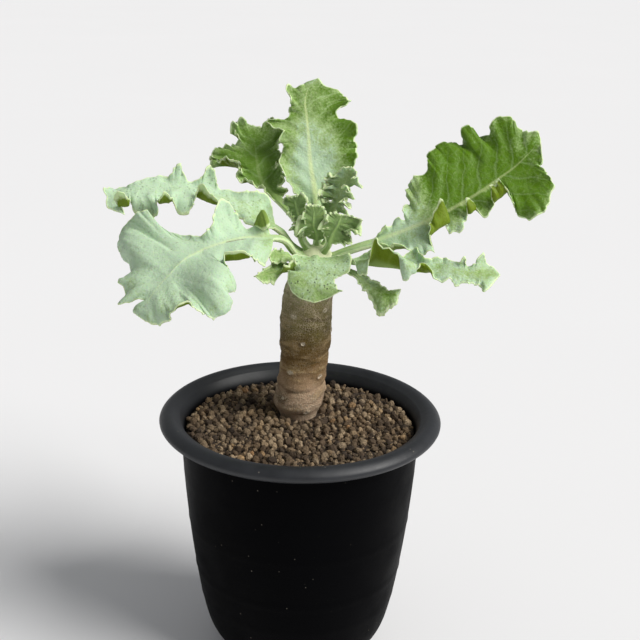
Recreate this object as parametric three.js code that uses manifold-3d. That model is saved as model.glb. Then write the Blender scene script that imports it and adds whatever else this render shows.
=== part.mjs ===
// Potted othonna cyclophylla: a stout corky stem with one rosette of large wavy leaves,
// growing in fine grit in a plain round pot.
// Millimetres, +Z up, origin at the centre of the pot's base. The broad leaves lie to
// the left and right, and the rosette's open front faces -Y.
import * as THREE from 'three';
import { mergeVertices } from 'three/addons/utils/BufferGeometryUtils.js';
import Module from 'manifold-3d';

const wasm = await Module();
wasm.setup();

const GAP = 0.3; // between pieces that touch on the real plant
const WELD = 0.001; // vertices nearer than this are one

// Pot
const POT_HEIGHT = 112;
const RIM_RADIUS = 60;
const MOUTH_RADIUS = 51.3;
const BASE_RADIUS = 28;
const WALL = 1.9;
const FLOOR = 3;
const POT_SIDES = 40;
const DRAIN_HOLES = 6;
const DRAIN_RADIUS = 3;
const DRAIN_RING = 18;
const INSIDE_STEPS = 6; // along the inner wall's profile

// Soil: its top is relief that stands for the grains, larger than life
const SOIL_LEVEL = 105.6; // at the pot's wall
const SOIL_RISE = 2; // from there to the stem
const GRAIN_PITCH = 3.3;
const GRAIN_HEIGHT = 1.1;

// Stem: rows of height, how far its middle lies to the right, and radius
const STEM_BACK = 8.5; // the stem stands this far behind the pot's middle
const ROOT_BOTTOM = 86;
const ROOT_TOP = 108.5; // the soil's hole is plain up to here
const STEM_SIDES = 20;
const STEM_STEP = 3.5;
const STEM_ROWS = [
  [ROOT_BOTTOM, -1, 2.5],
  [92, -1, 5],
  [100, -1, 6.8],
  [106, -1, 7.7],
  [ROOT_TOP, -1.2, 8.6],
  [112, -1.2, 10.6],
  [117, -0.4, 10.5],
  [125, 0.3, 10],
  [135, 1.1, 10.3],
  [146, 1.5, 10.9],
  [153, 1.9, 10.8],
  [160, 2.4, 10.5],
  [166, 3.2, 10],
  [172, 5.5, 8.5],
];
const SCAR_PITCH = 7; // height between the rings that old leaves left
const SCAR_DEPTH = 0.25;

// Crown: the stem's domed top, which carries every leaf
const CROWN = new THREE.Vector3(5.5, STEM_BACK, 172);
const CROWN_RADIUS = 8.5;
const CROWN_HEIGHT = 11;

// Blades
const BLADE_HALF = 0.4; // half a blade's thickness
const STALK_REACH = 3; // a stalk leaves the crown square for this far
const BIG_LEAF = 55; // leaves longer than this take the finer grid
const BIG_GRID = [38, 3]; // stations along the rib, and columns from rib to margin
const SMALL_GRID = [21, 2];
const STIFFNESS = 1.3; // how far a blade's thickness keeps to the rib's own normal

// Each leaf. seat: where its stalk leaves the crown, as the turn from +X and the height
// angle. rib: further points of the midrib. face: where the upper side looks, from the
// stalk to the tip. blade: how far along the rib the blade begins. stalk: its half
// thickness at the crown and at the blade. left and right: the margins, in rows of the
// distance along the rib, how far forward of it, how far out, and how far up. tip: the
// same three for the end. frill: height, length and start of a fine wave.
const LEAVES = {
  leaf_front_left: {
    seat: [207, 38],
    rib: [
      [-8, 0, 187], [-17, -5, 189], [-24, -10, 190], [-32, -15, 189], [-40, -20, 187], [-47, -26, 184],
      [-52, -31, 179], [-56, -36, 175], [-59, -39, 170],
    ],
    face: [[0, -0.2, 1], [-0.05, -0.3, 1], [-0.2, -0.5, 1], [-0.45, -0.6, 0.8]],
    blade: 18,
    stalk: [1.8, 1.7],
    left: [
      [21, 0, 7, -2], [27.5, 0, 12.5, -6], [33.5, 0, 14.5, -2], [38.5, 0, 17, 4], [42.5, 0, 15.5, 6],
      [46.5, 0.5, 13.5, 4], [48.5, -0.5, 17.5, 1], [50, -1.5, 21, -2], [60, 0, 25, -1],
      [63.5, 0, 28.5, -4], [65, 3.5, 28.5, -5], [67, 6.5, 26.5, -6], [69, 6, 23, -3], [70.5, 7, 22, 0.5],
      [72.5, 6, 20, 4], [74, 7.5, 18, 4], [76, 7, 14.5, 1], [78, 7, 11.5, -3], [79.5, 7.5, 7.5, -3],
      [81.5, 6.5, 2.5, -1.5],
    ],
    right: [
      [20, -1, 2.5, 3], [21.5, -1.5, 6, 8], [25, 0, 5.5, 2], [34.5, 0, 12.5, 12], [44.5, 0, 5.5, 4],
      [49, 0, 10, 1], [51, 2, 18, 0.5], [52.5, 2, 24.5, 2], [54.5, 1, 28, 8], [56.5, 1.5, 30.5, 7],
      [58, 1.5, 33.5, 3], [60, 2, 36.5, 0], [61.5, 2, 36, -4], [63.5, 1.5, 34, -7], [65.5, 2, 26, -7],
      [67, 4, 20, -4], [69, 8.5, 19, 0], [70.5, 8, 16.5, -2], [72.5, 8.5, 12.5, -3], [74, 11.5, 13, -2.5],
      [76, 8, 9.5, -1.5], [78, 3.5, 5, 0.5], [79.5, 1.5, 2.5, -1], [81.5, 3.5, 6, -1],
    ],
    tip: [3.5, 7, -3],
  },
  leaf_left: {
    seat: [171, 40],
    rib: [
      [-9, 8, 188], [-15, 8, 192], [-22, 9, 196], [-30, 10, 200], [-38, 10, 203], [-47, 9, 205],
      [-57, 6, 206], [-66, 3, 206], [-73, 0, 204], [-76, -2, 202], [-75, -4, 199],
    ],
    face: [[0, -0.1, 1], [0.1, -0.25, 1], [0, -0.45, 1], [-0.2, -0.7, 0.9]],
    blade: 16,
    stalk: [1.8, 1.6],
    left: [
      [20, 0, 6.5, 0], [24.5, 0, 7.5, -1], [29.5, 0, 5.5, -2], [36.5, 0, 4, 0], [40.5, 0, 6.5, 2],
      [46.5, 0, 7.5, 5], [50.5, 0.5, 4.5, 6], [53, -1, 5.5, 2.5], [55, -2, 8, -2], [56.5, -1.5, 8.5, -6],
      [58.5, 0, 9, -7], [61, 0, 8, -4], [63.5, 0.5, 11, 3], [65.5, 1.5, 12, 7], [67, 1.5, 12.5, 5.5],
      [69, 0.5, 8.5, -1], [73, -3, 10.5, -4.5], [74.5, -2, 9, -9], [76.5, 0.5, 7.5, -8], [78, 2, 5.5, -6],
      [79.5, 1, 3.5, -2], [81, 2, 7.5, 6], [83, 2, 6.5, 9], [84.5, 2.5, 5, 6.5], [87.5, 1.5, 2.5, 1],
    ],
    right: [
      [21.5, 0, 9.5, 2], [26, 0, 11.5, 4], [31.5, 0, 6.5, 5], [35.5, 0, 4.5, 3], [39.5, 0, 5.5, 1],
      [44, 0, 4, 2], [46, 0, 6, 6], [48.5, 0.5, 6.5, 9], [50, 0, 4.5, 5], [52.5, 0, 4, 2], [56, 0, 4, 2],
      [57.5, 0, 6, 5], [60, -0.5, 6.5, 7.5], [61.5, 0, 5.5, 3.5], [66, 0, 6.5, 1], [71.5, 0, 6, 0],
      [77.5, 0, 4.5, 0], [82, 0.5, 6, -1], [83.5, 4, 5.5, 3], [85, 2.5, 3.5, 0.5], [86.5, 1.5, 3, 0.5],
      [88.5, 0.5, 2.5, 0],
    ],
    tip: [3, -2.5, 0],
  },
  leaf_back_left: {
    seat: [134, 48],
    rib: [
      [-3, 18, 190], [-7, 22, 194], [-11, 26, 197], [-15, 30, 200], [-19, 33, 204], [-21, 37, 210],
      [-22, 42, 215], [-23, 46, 220],
    ],
    face: [[0.2, -0.6, 0.8], [0.1, -0.8, 0.6], [0, -0.9, 0.5]],
    blade: 26,
    stalk: [1.8, 1.8],
    left: [
      [29.5, 1, 2.5, 3], [34.5, 1, 2.5, 3], [36, 1, 4.5, 4.5], [38, 1.5, 7, 4], [41, 0, 9, 5],
      [42.5, 2, 7.5, 5], [44, 3, 12.5, 8.5], [45.5, 3.5, 18, 0], [47, 4.5, 19.5, 0], [48, 8, 17, -2],
      [49.5, 7, 12, -1], [51, 6.5, 7.5, 0], [52.5, 6.5, 7, 2], [54, 8, 8.5, 3], [55, 11, 7.5, 2],
      [56.5, 11, 3.5, 1], [58, 9, 2.5, 0],
    ],
    right: [
      [28.5, -2, 3, -0.5], [30.5, -4.5, 5, 3], [32, -2.5, 3.5, 4], [33.5, -3, 6.5, 5], [37, 0, 8.5, 2],
      [43, 0, 7.5, 4], [47, 1, 10.5, 0], [48, 4, 8, -0.5], [49.5, 4, 7, 3], [51, 7, 12, 0],
      [52.5, 10.5, 13.5, -1.5], [53.5, 9.5, 9.5, 0], [55, 13.5, 9.5, -1.5], [56.5, 9.5, 6, 0],
      [58, 6, 4, 0],
    ],
    tip: [4.5, 2, 0],
  },
  leaf_back: {
    seat: [88, 48],
    rib: [
      [5, 22, 193], [4, 26, 202], [2, 30, 212], [1, 34, 222], [0, 39, 230], [-1, 44, 236], [0, 48, 241],
    ],
    face: [[0, -0.9, 0.5], [0.05, -0.9, 0.4], [-0.05, -0.9, 0.5], [-0.05, -0.85, 0.6]],
    blade: 18,
    stalk: [1.9, 2],
    left: [
      [22, 0, 7, 2], [28.5, 0, 10, 1], [34, 0, 12, 3], [38.5, 0, 13, 1], [43.5, 0, 11, -1],
      [47.5, 0, 12, 2], [50.5, 0, 10.5, 3], [52.5, 0.5, 15, 3], [54, 2.5, 17, 1], [55, 1.5, 13.5, 2],
      [56.5, 0.5, 10.5, -1], [58, 0, 8, 0], [59.5, 4, 6.5, -1.5], [61, 4, 5.5, 2], [62, 3.5, 5.5, 2.5],
      [63.5, 5, 8, 2.5], [65, 6, 8, 2.5], [66.5, 4, 6, -1], [68, 4.5, 2.5, 0], [69, 5, 2.5, -2],
    ],
    right: [
      [19.5, -0.5, 4.5, -0.5], [21, 0, 7, 3], [25.5, 0, 11, 1], [28, 0, 14, 3], [31, 0, 17.5, 1],
      [36, 0, 19.5, 3], [42, 0, 20, -1], [45, 0, 19.5, 0], [48, 0, 20.5, 2], [51.5, 1, 19, 1],
      [52.5, 1.5, 16.5, -0.5], [54, 1, 14, -2], [57, 0, 13, 1], [58.5, -1, 15, 2], [65, 2, 18, 0],
      [66.5, 6, 14, -2], [68, 5.5, 10.5, -1], [69, 4.5, 7, 0],
    ],
    tip: [6, 3.5, 0],
  },
  leaf_right: {
    seat: [-6, 34],
    rib: [
      [23, 6, 183], [29, 6, 185], [36, 6, 188], [43, 6, 191], [52, 7, 195], [62, 9, 200], [71, 12, 205],
      [80, 15, 211], [87, 17, 216], [91, 18, 220], [94, 19, 223],
    ],
    face: [[0, -0.3, 1], [-0.1, -0.7, 0.9], [-0.25, -0.9, 0.6], [-0.3, -0.85, 0.6]],
    blade: 19,
    stalk: [1.9, 1.9],
    left: [
      [20.5, -1, 2.5, 0], [24.5, 0, 3, 3.5], [26.5, 0, 4.5, 1], [30, 0, 6.5, 1], [34, -0.5, 6, 0],
      [35.5, -1.5, 9, 2], [37, -1, 11.5, 0], [38.5, 0, 12.5, -2], [39.5, -1, 16, 0], [42, 0, 19.5, 0],
      [45, 0, 21, 2], [49, 0, 20.5, -1], [54.5, 0, 22.5, 0], [56.5, 0, 25.5, 0], [62, 0, 28, -1],
      [71, 0, 27.5, -3], [75.5, 0.5, 24.5, -3], [76.5, 0, 27, 0], [79.5, 1.5, 26.5, 0],
      [82.5, -0.5, 22.5, -4], [84, 2, 19, -2], [85.5, 3.5, 20.5, 1], [87, 7.5, 21.5, 0],
      [88, 10.5, 17.5, 0], [89.5, 8.5, 13.5, -1], [91, 7, 9, -1], [92.5, 9, 4, 0], [93.5, 7.5, 2.5, -2.5],
    ],
    right: [
      [20.5, -0.5, 6, 5], [24, 0, 8.5, 5], [29, 0, 10, 4], [32.5, 0, 12, -2], [34, 0, 13.5, -2],
      [36.5, 0, 13, 0], [39.5, 0, 14.5, -2], [41, 0, 11, -1], [44, 0, 7.5, 3], [47.5, -1.5, 6.5, 5.5],
      [50, -3, 5.5, 2.5], [51.5, -4.5, 8, -2], [52.5, -1.5, 9, -3], [54.5, 0, 7.5, 0], [58.5, 0, 5, 4],
      [61, 0, 9.5, 0], [65, 0, 10, 1], [68, 0, 8.5, 4], [76, -2, 9, 6.5], [77.5, -3.5, 12.5, 0.5],
      [79, -5.5, 17, -3.5], [80.5, -5.5, 20, -3], [81.5, -4, 22, -2], [84.5, 0, 21, -1], [86, 0, 19, -1],
      [87.5, 2, 17.5, 0], [89, 2, 11.5, 0], [90.5, 1, 7.5, -1.5], [93.5, 0.5, 6, 0],
    ],
    tip: [2, 2.5, 1],
  },
  leaf_front_right: {
    seat: [-34, 16],
    rib: [
      [17, -2, 179], [23, -6, 180], [30, -9, 180], [37, -11, 180], [44, -12, 179], [51, -13, 179],
      [59, -14, 180], [67, -15, 179], [74, -16, 178],
    ],
    face: [[0, -0.2, 1], [0, -0.35, 1], [0, -0.5, 1], [0.1, -0.4, 1]],
    blade: 12,
    stalk: [1.6, 1.5],
    left: [
      [15.5, 0, 3.5, 1], [20, 0, 4, 4], [24, 0, 4, 5], [29, 0, 4, 4], [32, 0, 4.5, 2], [34.5, 0, 8, 1],
      [38, 0, 10.5, 3], [41.5, 0, 5, 3], [45, 0, 4.5, 3], [50.5, 0, 6, 1], [55, 0, 4, 1], [56.5, 0, 3, 2],
      [58, -0.5, 4, 5], [59.5, -0.5, 3, 1.5], [61.5, 0, 3.5, 1], [63, 0.5, 5, 5], [64.5, 0.5, 7.5, 5.5],
      [66, 1, 6.5, 1.5], [67, 3, 6.5, 0],
    ],
    right: [
      [15, 0, 2.5, 2], [18, 0, 5, 0], [21, 0, 4, 1.5], [24, 0, 4, 4], [28, 0, 4.5, 5.5], [31, 0, 5, 5],
      [33.5, 0, 6, 3], [36, 0, 7, 1], [39, 0, 6.5, 1], [42, 0, 5, 2.5], [46.5, 0, 5.5, 1], [50, 0, 6, -0.5],
      [54, 0, 5.5, 0], [56.5, 0, 7.5, -2], [58.5, 0, 5.5, -1], [62, 0, 6, -1], [64, 0, 5, -0.5],
      [66, 0.5, 5, -2], [68, 2, 4, -1.5],
    ],
    tip: [4.5, -4, -1],
  },
  leaf_small_right: {
    seat: [-64, 12],
    rib: [
      [18, -6, 176], [22, -8, 175], [26, -10, 172], [31, -12, 170], [35, -14, 169], [37, -15, 169],
    ],
    face: [[0, -0.2, 1], [0, -0.4, 1], [0.1, -0.5, 1]],
    blade: 7,
    stalk: [1.2, 1],
    left: [
      [17.5, 0, 2.5, 0], [22.5, 0, 2.5, 1.5], [27.5, 0, 2.5, 1], [30.5, 1.5, 2.5, 0.5], [31.5, 3, 4, 1],
    ],
    right: [
      [21, 0, 2.5, -0.5], [25, 0, 2.5, -3], [28.5, 0.5, 4.5, -6], [31, 1, 5.5, -7.5], [32, 1, 4, -5],
      [33, 3, 2.5, -2],
    ],
    tip: [0.5, -2, -3],
  },
  leaf_front: {
    seat: [268, 36],
    rib: [
      [5, -7.5, 179.5], [5, -11.5, 176], [4, -13.5, 172], [4, -14, 168],
    ],
    face: [[0, -0.3, 1], [0, -0.7, 0.8], [0, -0.95, 0.4], [0, -1, 0.2]],
    blade: 4,
    stalk: [1.8, 1.7],
    left: [
      [7, -1, 5.5, 1], [9, -1.5, 8.5, 1], [11, -0.5, 10, 0.5], [13, 0, 9, 0], [14.5, 0, 10, 0],
      [15.5, -0.5, 8.5, -1], [20, 0.5, 11.5, 1], [21.5, 2.5, 8.5, 0],
    ],
    right: [
      [6.5, -0.5, 5, 0.5], [8.5, -0.5, 9.5, 0.5], [10.5, 0, 11, 0], [13, 0, 10.5, 0], [17.5, 0, 9.5, -1],
      [19.5, 0, 8, -1], [21.5, 2, 5, 0],
    ],
    tip: [4, -1, 0],
  },
  leaf_small_left: {
    seat: [248, 12],
    rib: [
      [-5, -3, 175], [-8, -5, 175], [-12, -7, 175], [-15, -10, 175], [-18, -12, 175],
    ],
    face: [[0, -0.3, 1], [0, -0.5, 0.9], [-0.2, -0.6, 0.8]],
    blade: 7,
    stalk: [1.1, 0.9],
    left: [
      [14, 0.5, 2.5, -1], [19, 0, 3.5, -3], [21.5, 0, 2.5, -2.5], [24.5, 0.5, 2.5, -0.5],
    ],
    right: [
      [10.5, 0, 5, 1], [15, 0, 5, 2], [18, 0, 2.5, 2], [20.5, 0, 2.5, 1],
    ],
    tip: [1.5, 0, 0],
  },
  leaf_shaded: {
    seat: [222, 22],
    rib: [
      [-7, -3, 181], [-10, -4, 181], [-12, -5, 181],
    ],
    face: [[0, -0.5, 0.9], [0, -0.7, 0.7]],
    blade: 5,
    stalk: [1.1, 0.9],
    left: [
      [12, 0, 2.5, -1], [14, 0.5, 2.5, -1], [15, 3, 2.5, 1.5],
    ],
    right: [
      [10.5, 0, 2.5, 0], [13, 0, 3, 1], [15, 0.5, 2.5, 1],
    ],
    tip: [2, 1, 1],
  },
  leaf_young_right: {
    seat: [-50, 56],
    rib: [
      [12, 2, 190], [14, 1, 194], [15, 1, 197],
    ],
    face: [[0.1, 0.9, 0.5], [0.1, 0.9, 0.6], [0, 0.8, 0.8]],
    blade: 5,
    stalk: [1.4, 1.2],
    left: [
      [6, 0, 3, -1.5], [11, 0, 7, -2], [12, 0, 5, 2], [14, 0, 6, -2], [15, 1.5, 8, -3], [16, 3.5, 7, -3],
      [17, 2, 3.5, -1],
    ],
    right: [
      [6.5, 0, 2.5, 0], [9.5, 0, 4.5, 1], [14, 0, 5, 0], [16, 1.5, 4.5, 1], [17, 1.5, 2.5, 1],
    ],
    tip: [1, 0, 0],
  },
  leaf_young_left: {
    seat: [188, 62],
    rib: [
      [-1, 10, 192], [-3, 11, 197], [-4, 11, 201],
    ],
    face: [[0.5, 0.9, 0.3], [0.4, 0.9, 0.3], [0.2, 0.9, 0.4]],
    blade: 7,
    stalk: [1.5, 1.2],
    frill: [1.2, 5, 0],
    left: [
      [8, 0, 2.5, 1.5], [9, -0.5, 2.5, 1], [11, 0, 2.5, -0.5], [13.5, 0, 2.5, 0], [17.5, 0, 3, 0],
      [19, 1.5, 3.5, 1], [20, 3, 2.5, 0],
    ],
    right: [
      [14.5, 0, 2.5, 0], [18, 0.5, 4, 1], [19, 2.5, 5, 1], [20, 2.5, 2.5, 1.5],
    ],
    tip: [1.5, -1, 0],
  },
  leaf_young_back: {
    seat: [40, 64],
    rib: [
      [11, 9, 193], [13, 9, 198], [15, 10, 204], [17, 11, 209], [18, 12, 213],
    ],
    face: [[-0.8, -0.4, 0.4], [-0.8, -0.5, 0.3], [-0.6, -0.7, 0.3]],
    blade: 11,
    stalk: [1.5, 1.3],
    frill: [1.4, 5.5, 1],
    left: [
      [14.5, -3, 7.5, 1.5], [16, 0, 9, 1], [20.5, 0, 4.5, 2], [23, 0, 10, 2], [26.5, 0, 7, 2],
      [31.5, 0.5, 6, 1], [32.5, 2.5, 3, 0],
    ],
    right: [
      [18.5, 0, 4, 0], [24.5, 0, 5, 0], [29.5, 0, 5.5, 1], [31.5, 1, 5.5, 1], [32.5, 2.5, 2.5, 0.5],
    ],
    tip: [2, -0.5, 0],
  },
  leaf_tip: {
    seat: [265, 88],
    rib: [
      [4, 3, 193], [4, 3, 198],
    ],
    face: [[0, 0.8, 0.6], [0, 0.9, 0.3], [0, 0.9, 0.3]],
    blade: 5,
    stalk: [1.2, 1],
    frill: [1.1, 4.5, 2],
    left: [
      [6, 0, 2.5, -2], [11, 0, 2.5, 0], [14.5, 1.5, 2.5, 0], [16, 3.5, 2.5, 0],
    ],
    right: [
      [6, 0, 2.5, 0], [12, 0, 2.5, 0], [15, 1.5, 2.5, 0], [16, 3.5, 2.5, 0],
    ],
    tip: [3, 0.5, 0],
  },
};

const COLOURS = {
  pot: 0x17181a,
  soil: 0x7d6a55,
  stem: 0x7a6a50,
  pale: 0xa9c3a4,
  fresh: 0x7fa06a,
  dark: 0x5c7f45,
};
const FRESH_LEAVES = ['leaf_back', 'leaf_right', 'leaf_small_right', 'leaf_young_right'];
const DARK_LEAVES = ['leaf_back_left', 'leaf_small_left', 'leaf_shaded', 'leaf_young_left'];

// Merges the vertices that lie together and drops the faces that this closes up.
function weld(geometry) {
  geometry.deleteAttribute('normal');
  geometry.deleteAttribute('uv');
  const merged = mergeVertices(geometry, WELD);
  const index = merged.index.array;
  const kept = [];
  for (let i = 0; i < index.length; i += 3) {
    const [a, b, c] = index.slice(i, i + 3);
    if (a !== b && b !== c && c !== a) kept.push(a, b, c);
  }
  merged.setIndex(kept);
  return merged;
}

function toSolid(geometry) {
  const welded = weld(geometry);
  const vertProperties = welded.getAttribute('position').array;
  const triVerts = Uint32Array.from(welded.index.array);
  return new wasm.Manifold(new wasm.Mesh({ numProp: 3, vertProperties, triVerts }));
}

function fromSolid(solid) {
  const mesh = solid.getMesh();
  const geometry = new THREE.BufferGeometry();
  geometry.setAttribute('position', new THREE.BufferAttribute(mesh.vertProperties, 3));
  geometry.setIndex(Array.from(mesh.triVerts));
  return geometry;
}

// A turned body that stands on +Z, from a profile of radius and height.
function turned(profile, sides) {
  const geometry = new THREE.LatheGeometry(profile, sides);
  geometry.rotateX(Math.PI / 2);
  return geometry;
}

// Moves each vertex by a function that changes the vector it is given.
function reshape(geometry, change) {
  const position = geometry.getAttribute('position');
  const point = new THREE.Vector3();
  for (let i = 0; i < position.count; i += 1) {
    point.fromBufferAttribute(position, i);
    change(point);
    position.setXYZ(i, point.x, point.y, point.z);
  }
  return geometry;
}

// The slope of column i at row k, as a parabola through the row and its neighbours has.
function slope(rows, k, i) {
  const step = (j) => (rows[j + 1][i] - rows[j][i]) / (rows[j + 1][0] - rows[j][0]);
  if (k === 0) return step(0);
  if (k === rows.length - 1) return step(k - 1);
  const before = rows[k][0] - rows[k - 1][0];
  const after = rows[k + 1][0] - rows[k][0];
  return (step(k - 1) * after + step(k) * before) / (before + after);
}

// Smooth values between rows that start with their station.
function smooth(rows, station) {
  let k = 0;
  while (k < rows.length - 2 && rows[k + 1][0] <= station) k += 1;
  const span = rows[k + 1][0] - rows[k][0];
  const t = THREE.MathUtils.clamp((station - rows[k][0]) / span, 0, 1);
  const values = [];
  for (let i = 1; i < rows[k].length; i += 1) {
    const leave = slope(rows, k, i) * span;
    const arrive = slope(rows, k + 1, i) * span;
    const rise = rows[k + 1][i] - rows[k][i];
    const bend = 3 * rise - 2 * leave - arrive + t * (leave + arrive - 2 * rise);
    values.push(rows[k][i] + t * (leave + t * bend));
  }
  return values;
}

function curvePoints(pairs, divisions) {
  const curve = new THREE.SplineCurve(pairs.map(([radius, height]) => new THREE.Vector2(radius, height)));
  return curve.getSpacedPoints(divisions);
}

const OUTER_WALL = [[BASE_RADIUS, 0], [37.5, 10], [42.3, 25], [46.3, 50], [49.1, 76], [51, POT_HEIGHT - 8]];

function potInside() {
  const wall = OUTER_WALL.slice(1).map(([radius, height]) => [radius - WALL, height]);
  return [[BASE_RADIUS, FLOOR], ...wall];
}

function potGeometry() {
  const lip = [
    [52.8, POT_HEIGHT - 6.2],
    [57.6, POT_HEIGHT - 6],
    [RIM_RADIUS, POT_HEIGHT - 3.2],
    [57.8, POT_HEIGHT - 0.5],
    [54.8, POT_HEIGHT],
    [MOUTH_RADIUS, POT_HEIGHT - 2],
  ];
  const profile = [
    new THREE.Vector2(0, 0),
    ...curvePoints(OUTER_WALL, 7),
    ...curvePoints(lip, 8),
    ...curvePoints(potInside(), INSIDE_STEPS).reverse(),
    new THREE.Vector2(0, FLOOR),
  ];
  let pot = toSolid(turned(profile, POT_SIDES));
  for (let i = 0; i < DRAIN_HOLES; i += 1) {
    const turn = (i * 2 * Math.PI) / DRAIN_HOLES;
    const drill = new THREE.CylinderGeometry(DRAIN_RADIUS, DRAIN_RADIUS, 4 * FLOOR, 12);
    drill.rotateX(Math.PI / 2);
    drill.translate(DRAIN_RING * Math.cos(turn), DRAIN_RING * Math.sin(turn), 0);
    pot = pot.subtract(toSolid(drill));
  }
  return fromSolid(pot);
}

// A repeatable value between 0 and 1 for each corner of a square net.
function corner(i, j) {
  const wave = Math.sin(i * 127.1 + j * 311.7) * 43758.5453;
  return wave - Math.floor(wave);
}

function grains(x, y) {
  const [i, j] = [Math.floor(x / GRAIN_PITCH), Math.floor(y / GRAIN_PITCH)];
  const [u, v] = [x / GRAIN_PITCH - i, y / GRAIN_PITCH - j];
  const near = corner(i, j) * (1 - u) + corner(i + 1, j) * u;
  const far = corner(i, j + 1) * (1 - u) + corner(i + 1, j + 1) * u;
  return near * (1 - v) + far * v;
}

function soilGeometry() {
  const inside = potInside();
  const wall = curvePoints(inside, INSIDE_STEPS).filter((point) => point.y < SOIL_LEVEL - 4);
  const edge = new THREE.Vector2(inside.at(-1)[0] - GAP, SOIL_LEVEL);
  const side = wall.map((point) => new THREE.Vector2(point.x - 2 * GAP, point.y + GAP));
  const top = [];
  const rings = Math.round(edge.x / GRAIN_PITCH);
  for (let i = 1; i < rings; i += 1) {
    top.push(new THREE.Vector2(edge.x * (1 - i / rings), SOIL_LEVEL));
  }
  const profile = [
    new THREE.Vector2(0, FLOOR + GAP),
    ...side,
    edge,
    ...top,
    new THREE.Vector2(0, SOIL_LEVEL),
  ];
  const filling = reshape(turned(profile, POT_SIDES), (point) => {
    if (point.z < SOIL_LEVEL - 0.01) return;
    const fromStem = Math.hypot(point.x - STEM_ROWS[0][1], point.y - STEM_BACK);
    const inward = THREE.MathUtils.clamp(1 - Math.hypot(point.x, point.y) / edge.x, 0, 1);
    const clear = THREE.MathUtils.smoothstep(fromStem, 9, 15);
    point.z += SOIL_RISE * Math.sqrt(inward);
    point.z += GRAIN_HEIGHT * (grains(point.x, point.y) - 0.5) * clear * Math.min(1, inward * 12);
  });
  const hole = turned(
    [
      new THREE.Vector2(0, ROOT_BOTTOM - GAP),
      new THREE.Vector2(5.5, ROOT_BOTTOM - GAP),
      new THREE.Vector2(9.3, 100),
      new THREE.Vector2(9.3, ROOT_TOP + 10),
      new THREE.Vector2(0, ROOT_TOP + 10),
    ],
    STEM_SIDES,
  );
  hole.translate(STEM_ROWS[0][1], STEM_BACK, 0);
  return fromSolid(toSolid(filling).subtract(toSolid(hole)));
}

// The stem leans to the right, with shallow rings and lumps, and ends in the crown.
function stemGeometry() {
  const profile = [new THREE.Vector2(0, ROOT_BOTTOM)];
  const heights = [];
  for (let z = ROOT_BOTTOM; z < CROWN.z; z += STEM_STEP) heights.push(z);
  for (const z of heights) profile.push(new THREE.Vector2(smooth(STEM_ROWS, z)[1], z));
  for (let angle = 0; angle < 90; angle += 15) {
    const turn = THREE.MathUtils.degToRad(angle);
    const radius = CROWN_RADIUS * Math.cos(turn);
    profile.push(new THREE.Vector2(radius, CROWN.z + CROWN_HEIGHT * Math.sin(turn)));
  }
  profile.push(new THREE.Vector2(0, CROWN.z + CROWN_HEIGHT));
  return weld(reshape(turned(profile, STEM_SIDES), (point) => {
    const { z } = point;
    const turn = Math.atan2(point.y, point.x);
    const shown = THREE.MathUtils.smoothstep(z, ROOT_TOP, ROOT_TOP + 8);
    const below = 1 - THREE.MathUtils.smoothstep(z, CROWN.z - 12, CROWN.z - 2);
    const lump = 0.02 * Math.sin(3 * turn + z / 9) + 0.015 * Math.sin(5 * turn - z / 6);
    const ring = (SCAR_DEPTH / 10) * Math.sin((2 * Math.PI * z) / SCAR_PITCH + Math.sin(turn));
    const swell = 1 + shown * below * (lump + ring);
    const lean = z < CROWN.z ? smooth(STEM_ROWS, z)[0] : CROWN.x;
    point.set(point.x * swell + lean, point.y * swell + STEM_BACK, z);
  }));
}

// The first two points of a rib: just off the crown, then straight out from it.
function seatPoints([turn, height]) {
  const [a, e] = [THREE.MathUtils.degToRad(turn), THREE.MathUtils.degToRad(height)];
  const way = new THREE.Vector3(Math.cos(e) * Math.cos(a), Math.cos(e) * Math.sin(a), Math.sin(e));
  const size = new THREE.Vector3(CROWN_RADIUS, CROWN_RADIUS, CROWN_HEIGHT);
  const outward = way.clone().divide(size).normalize();
  const surface = way.clone().multiply(size).add(CROWN);
  return [GAP, GAP + STALK_REACH].map((reach) => surface.clone().addScaledVector(outward, reach));
}

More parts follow.
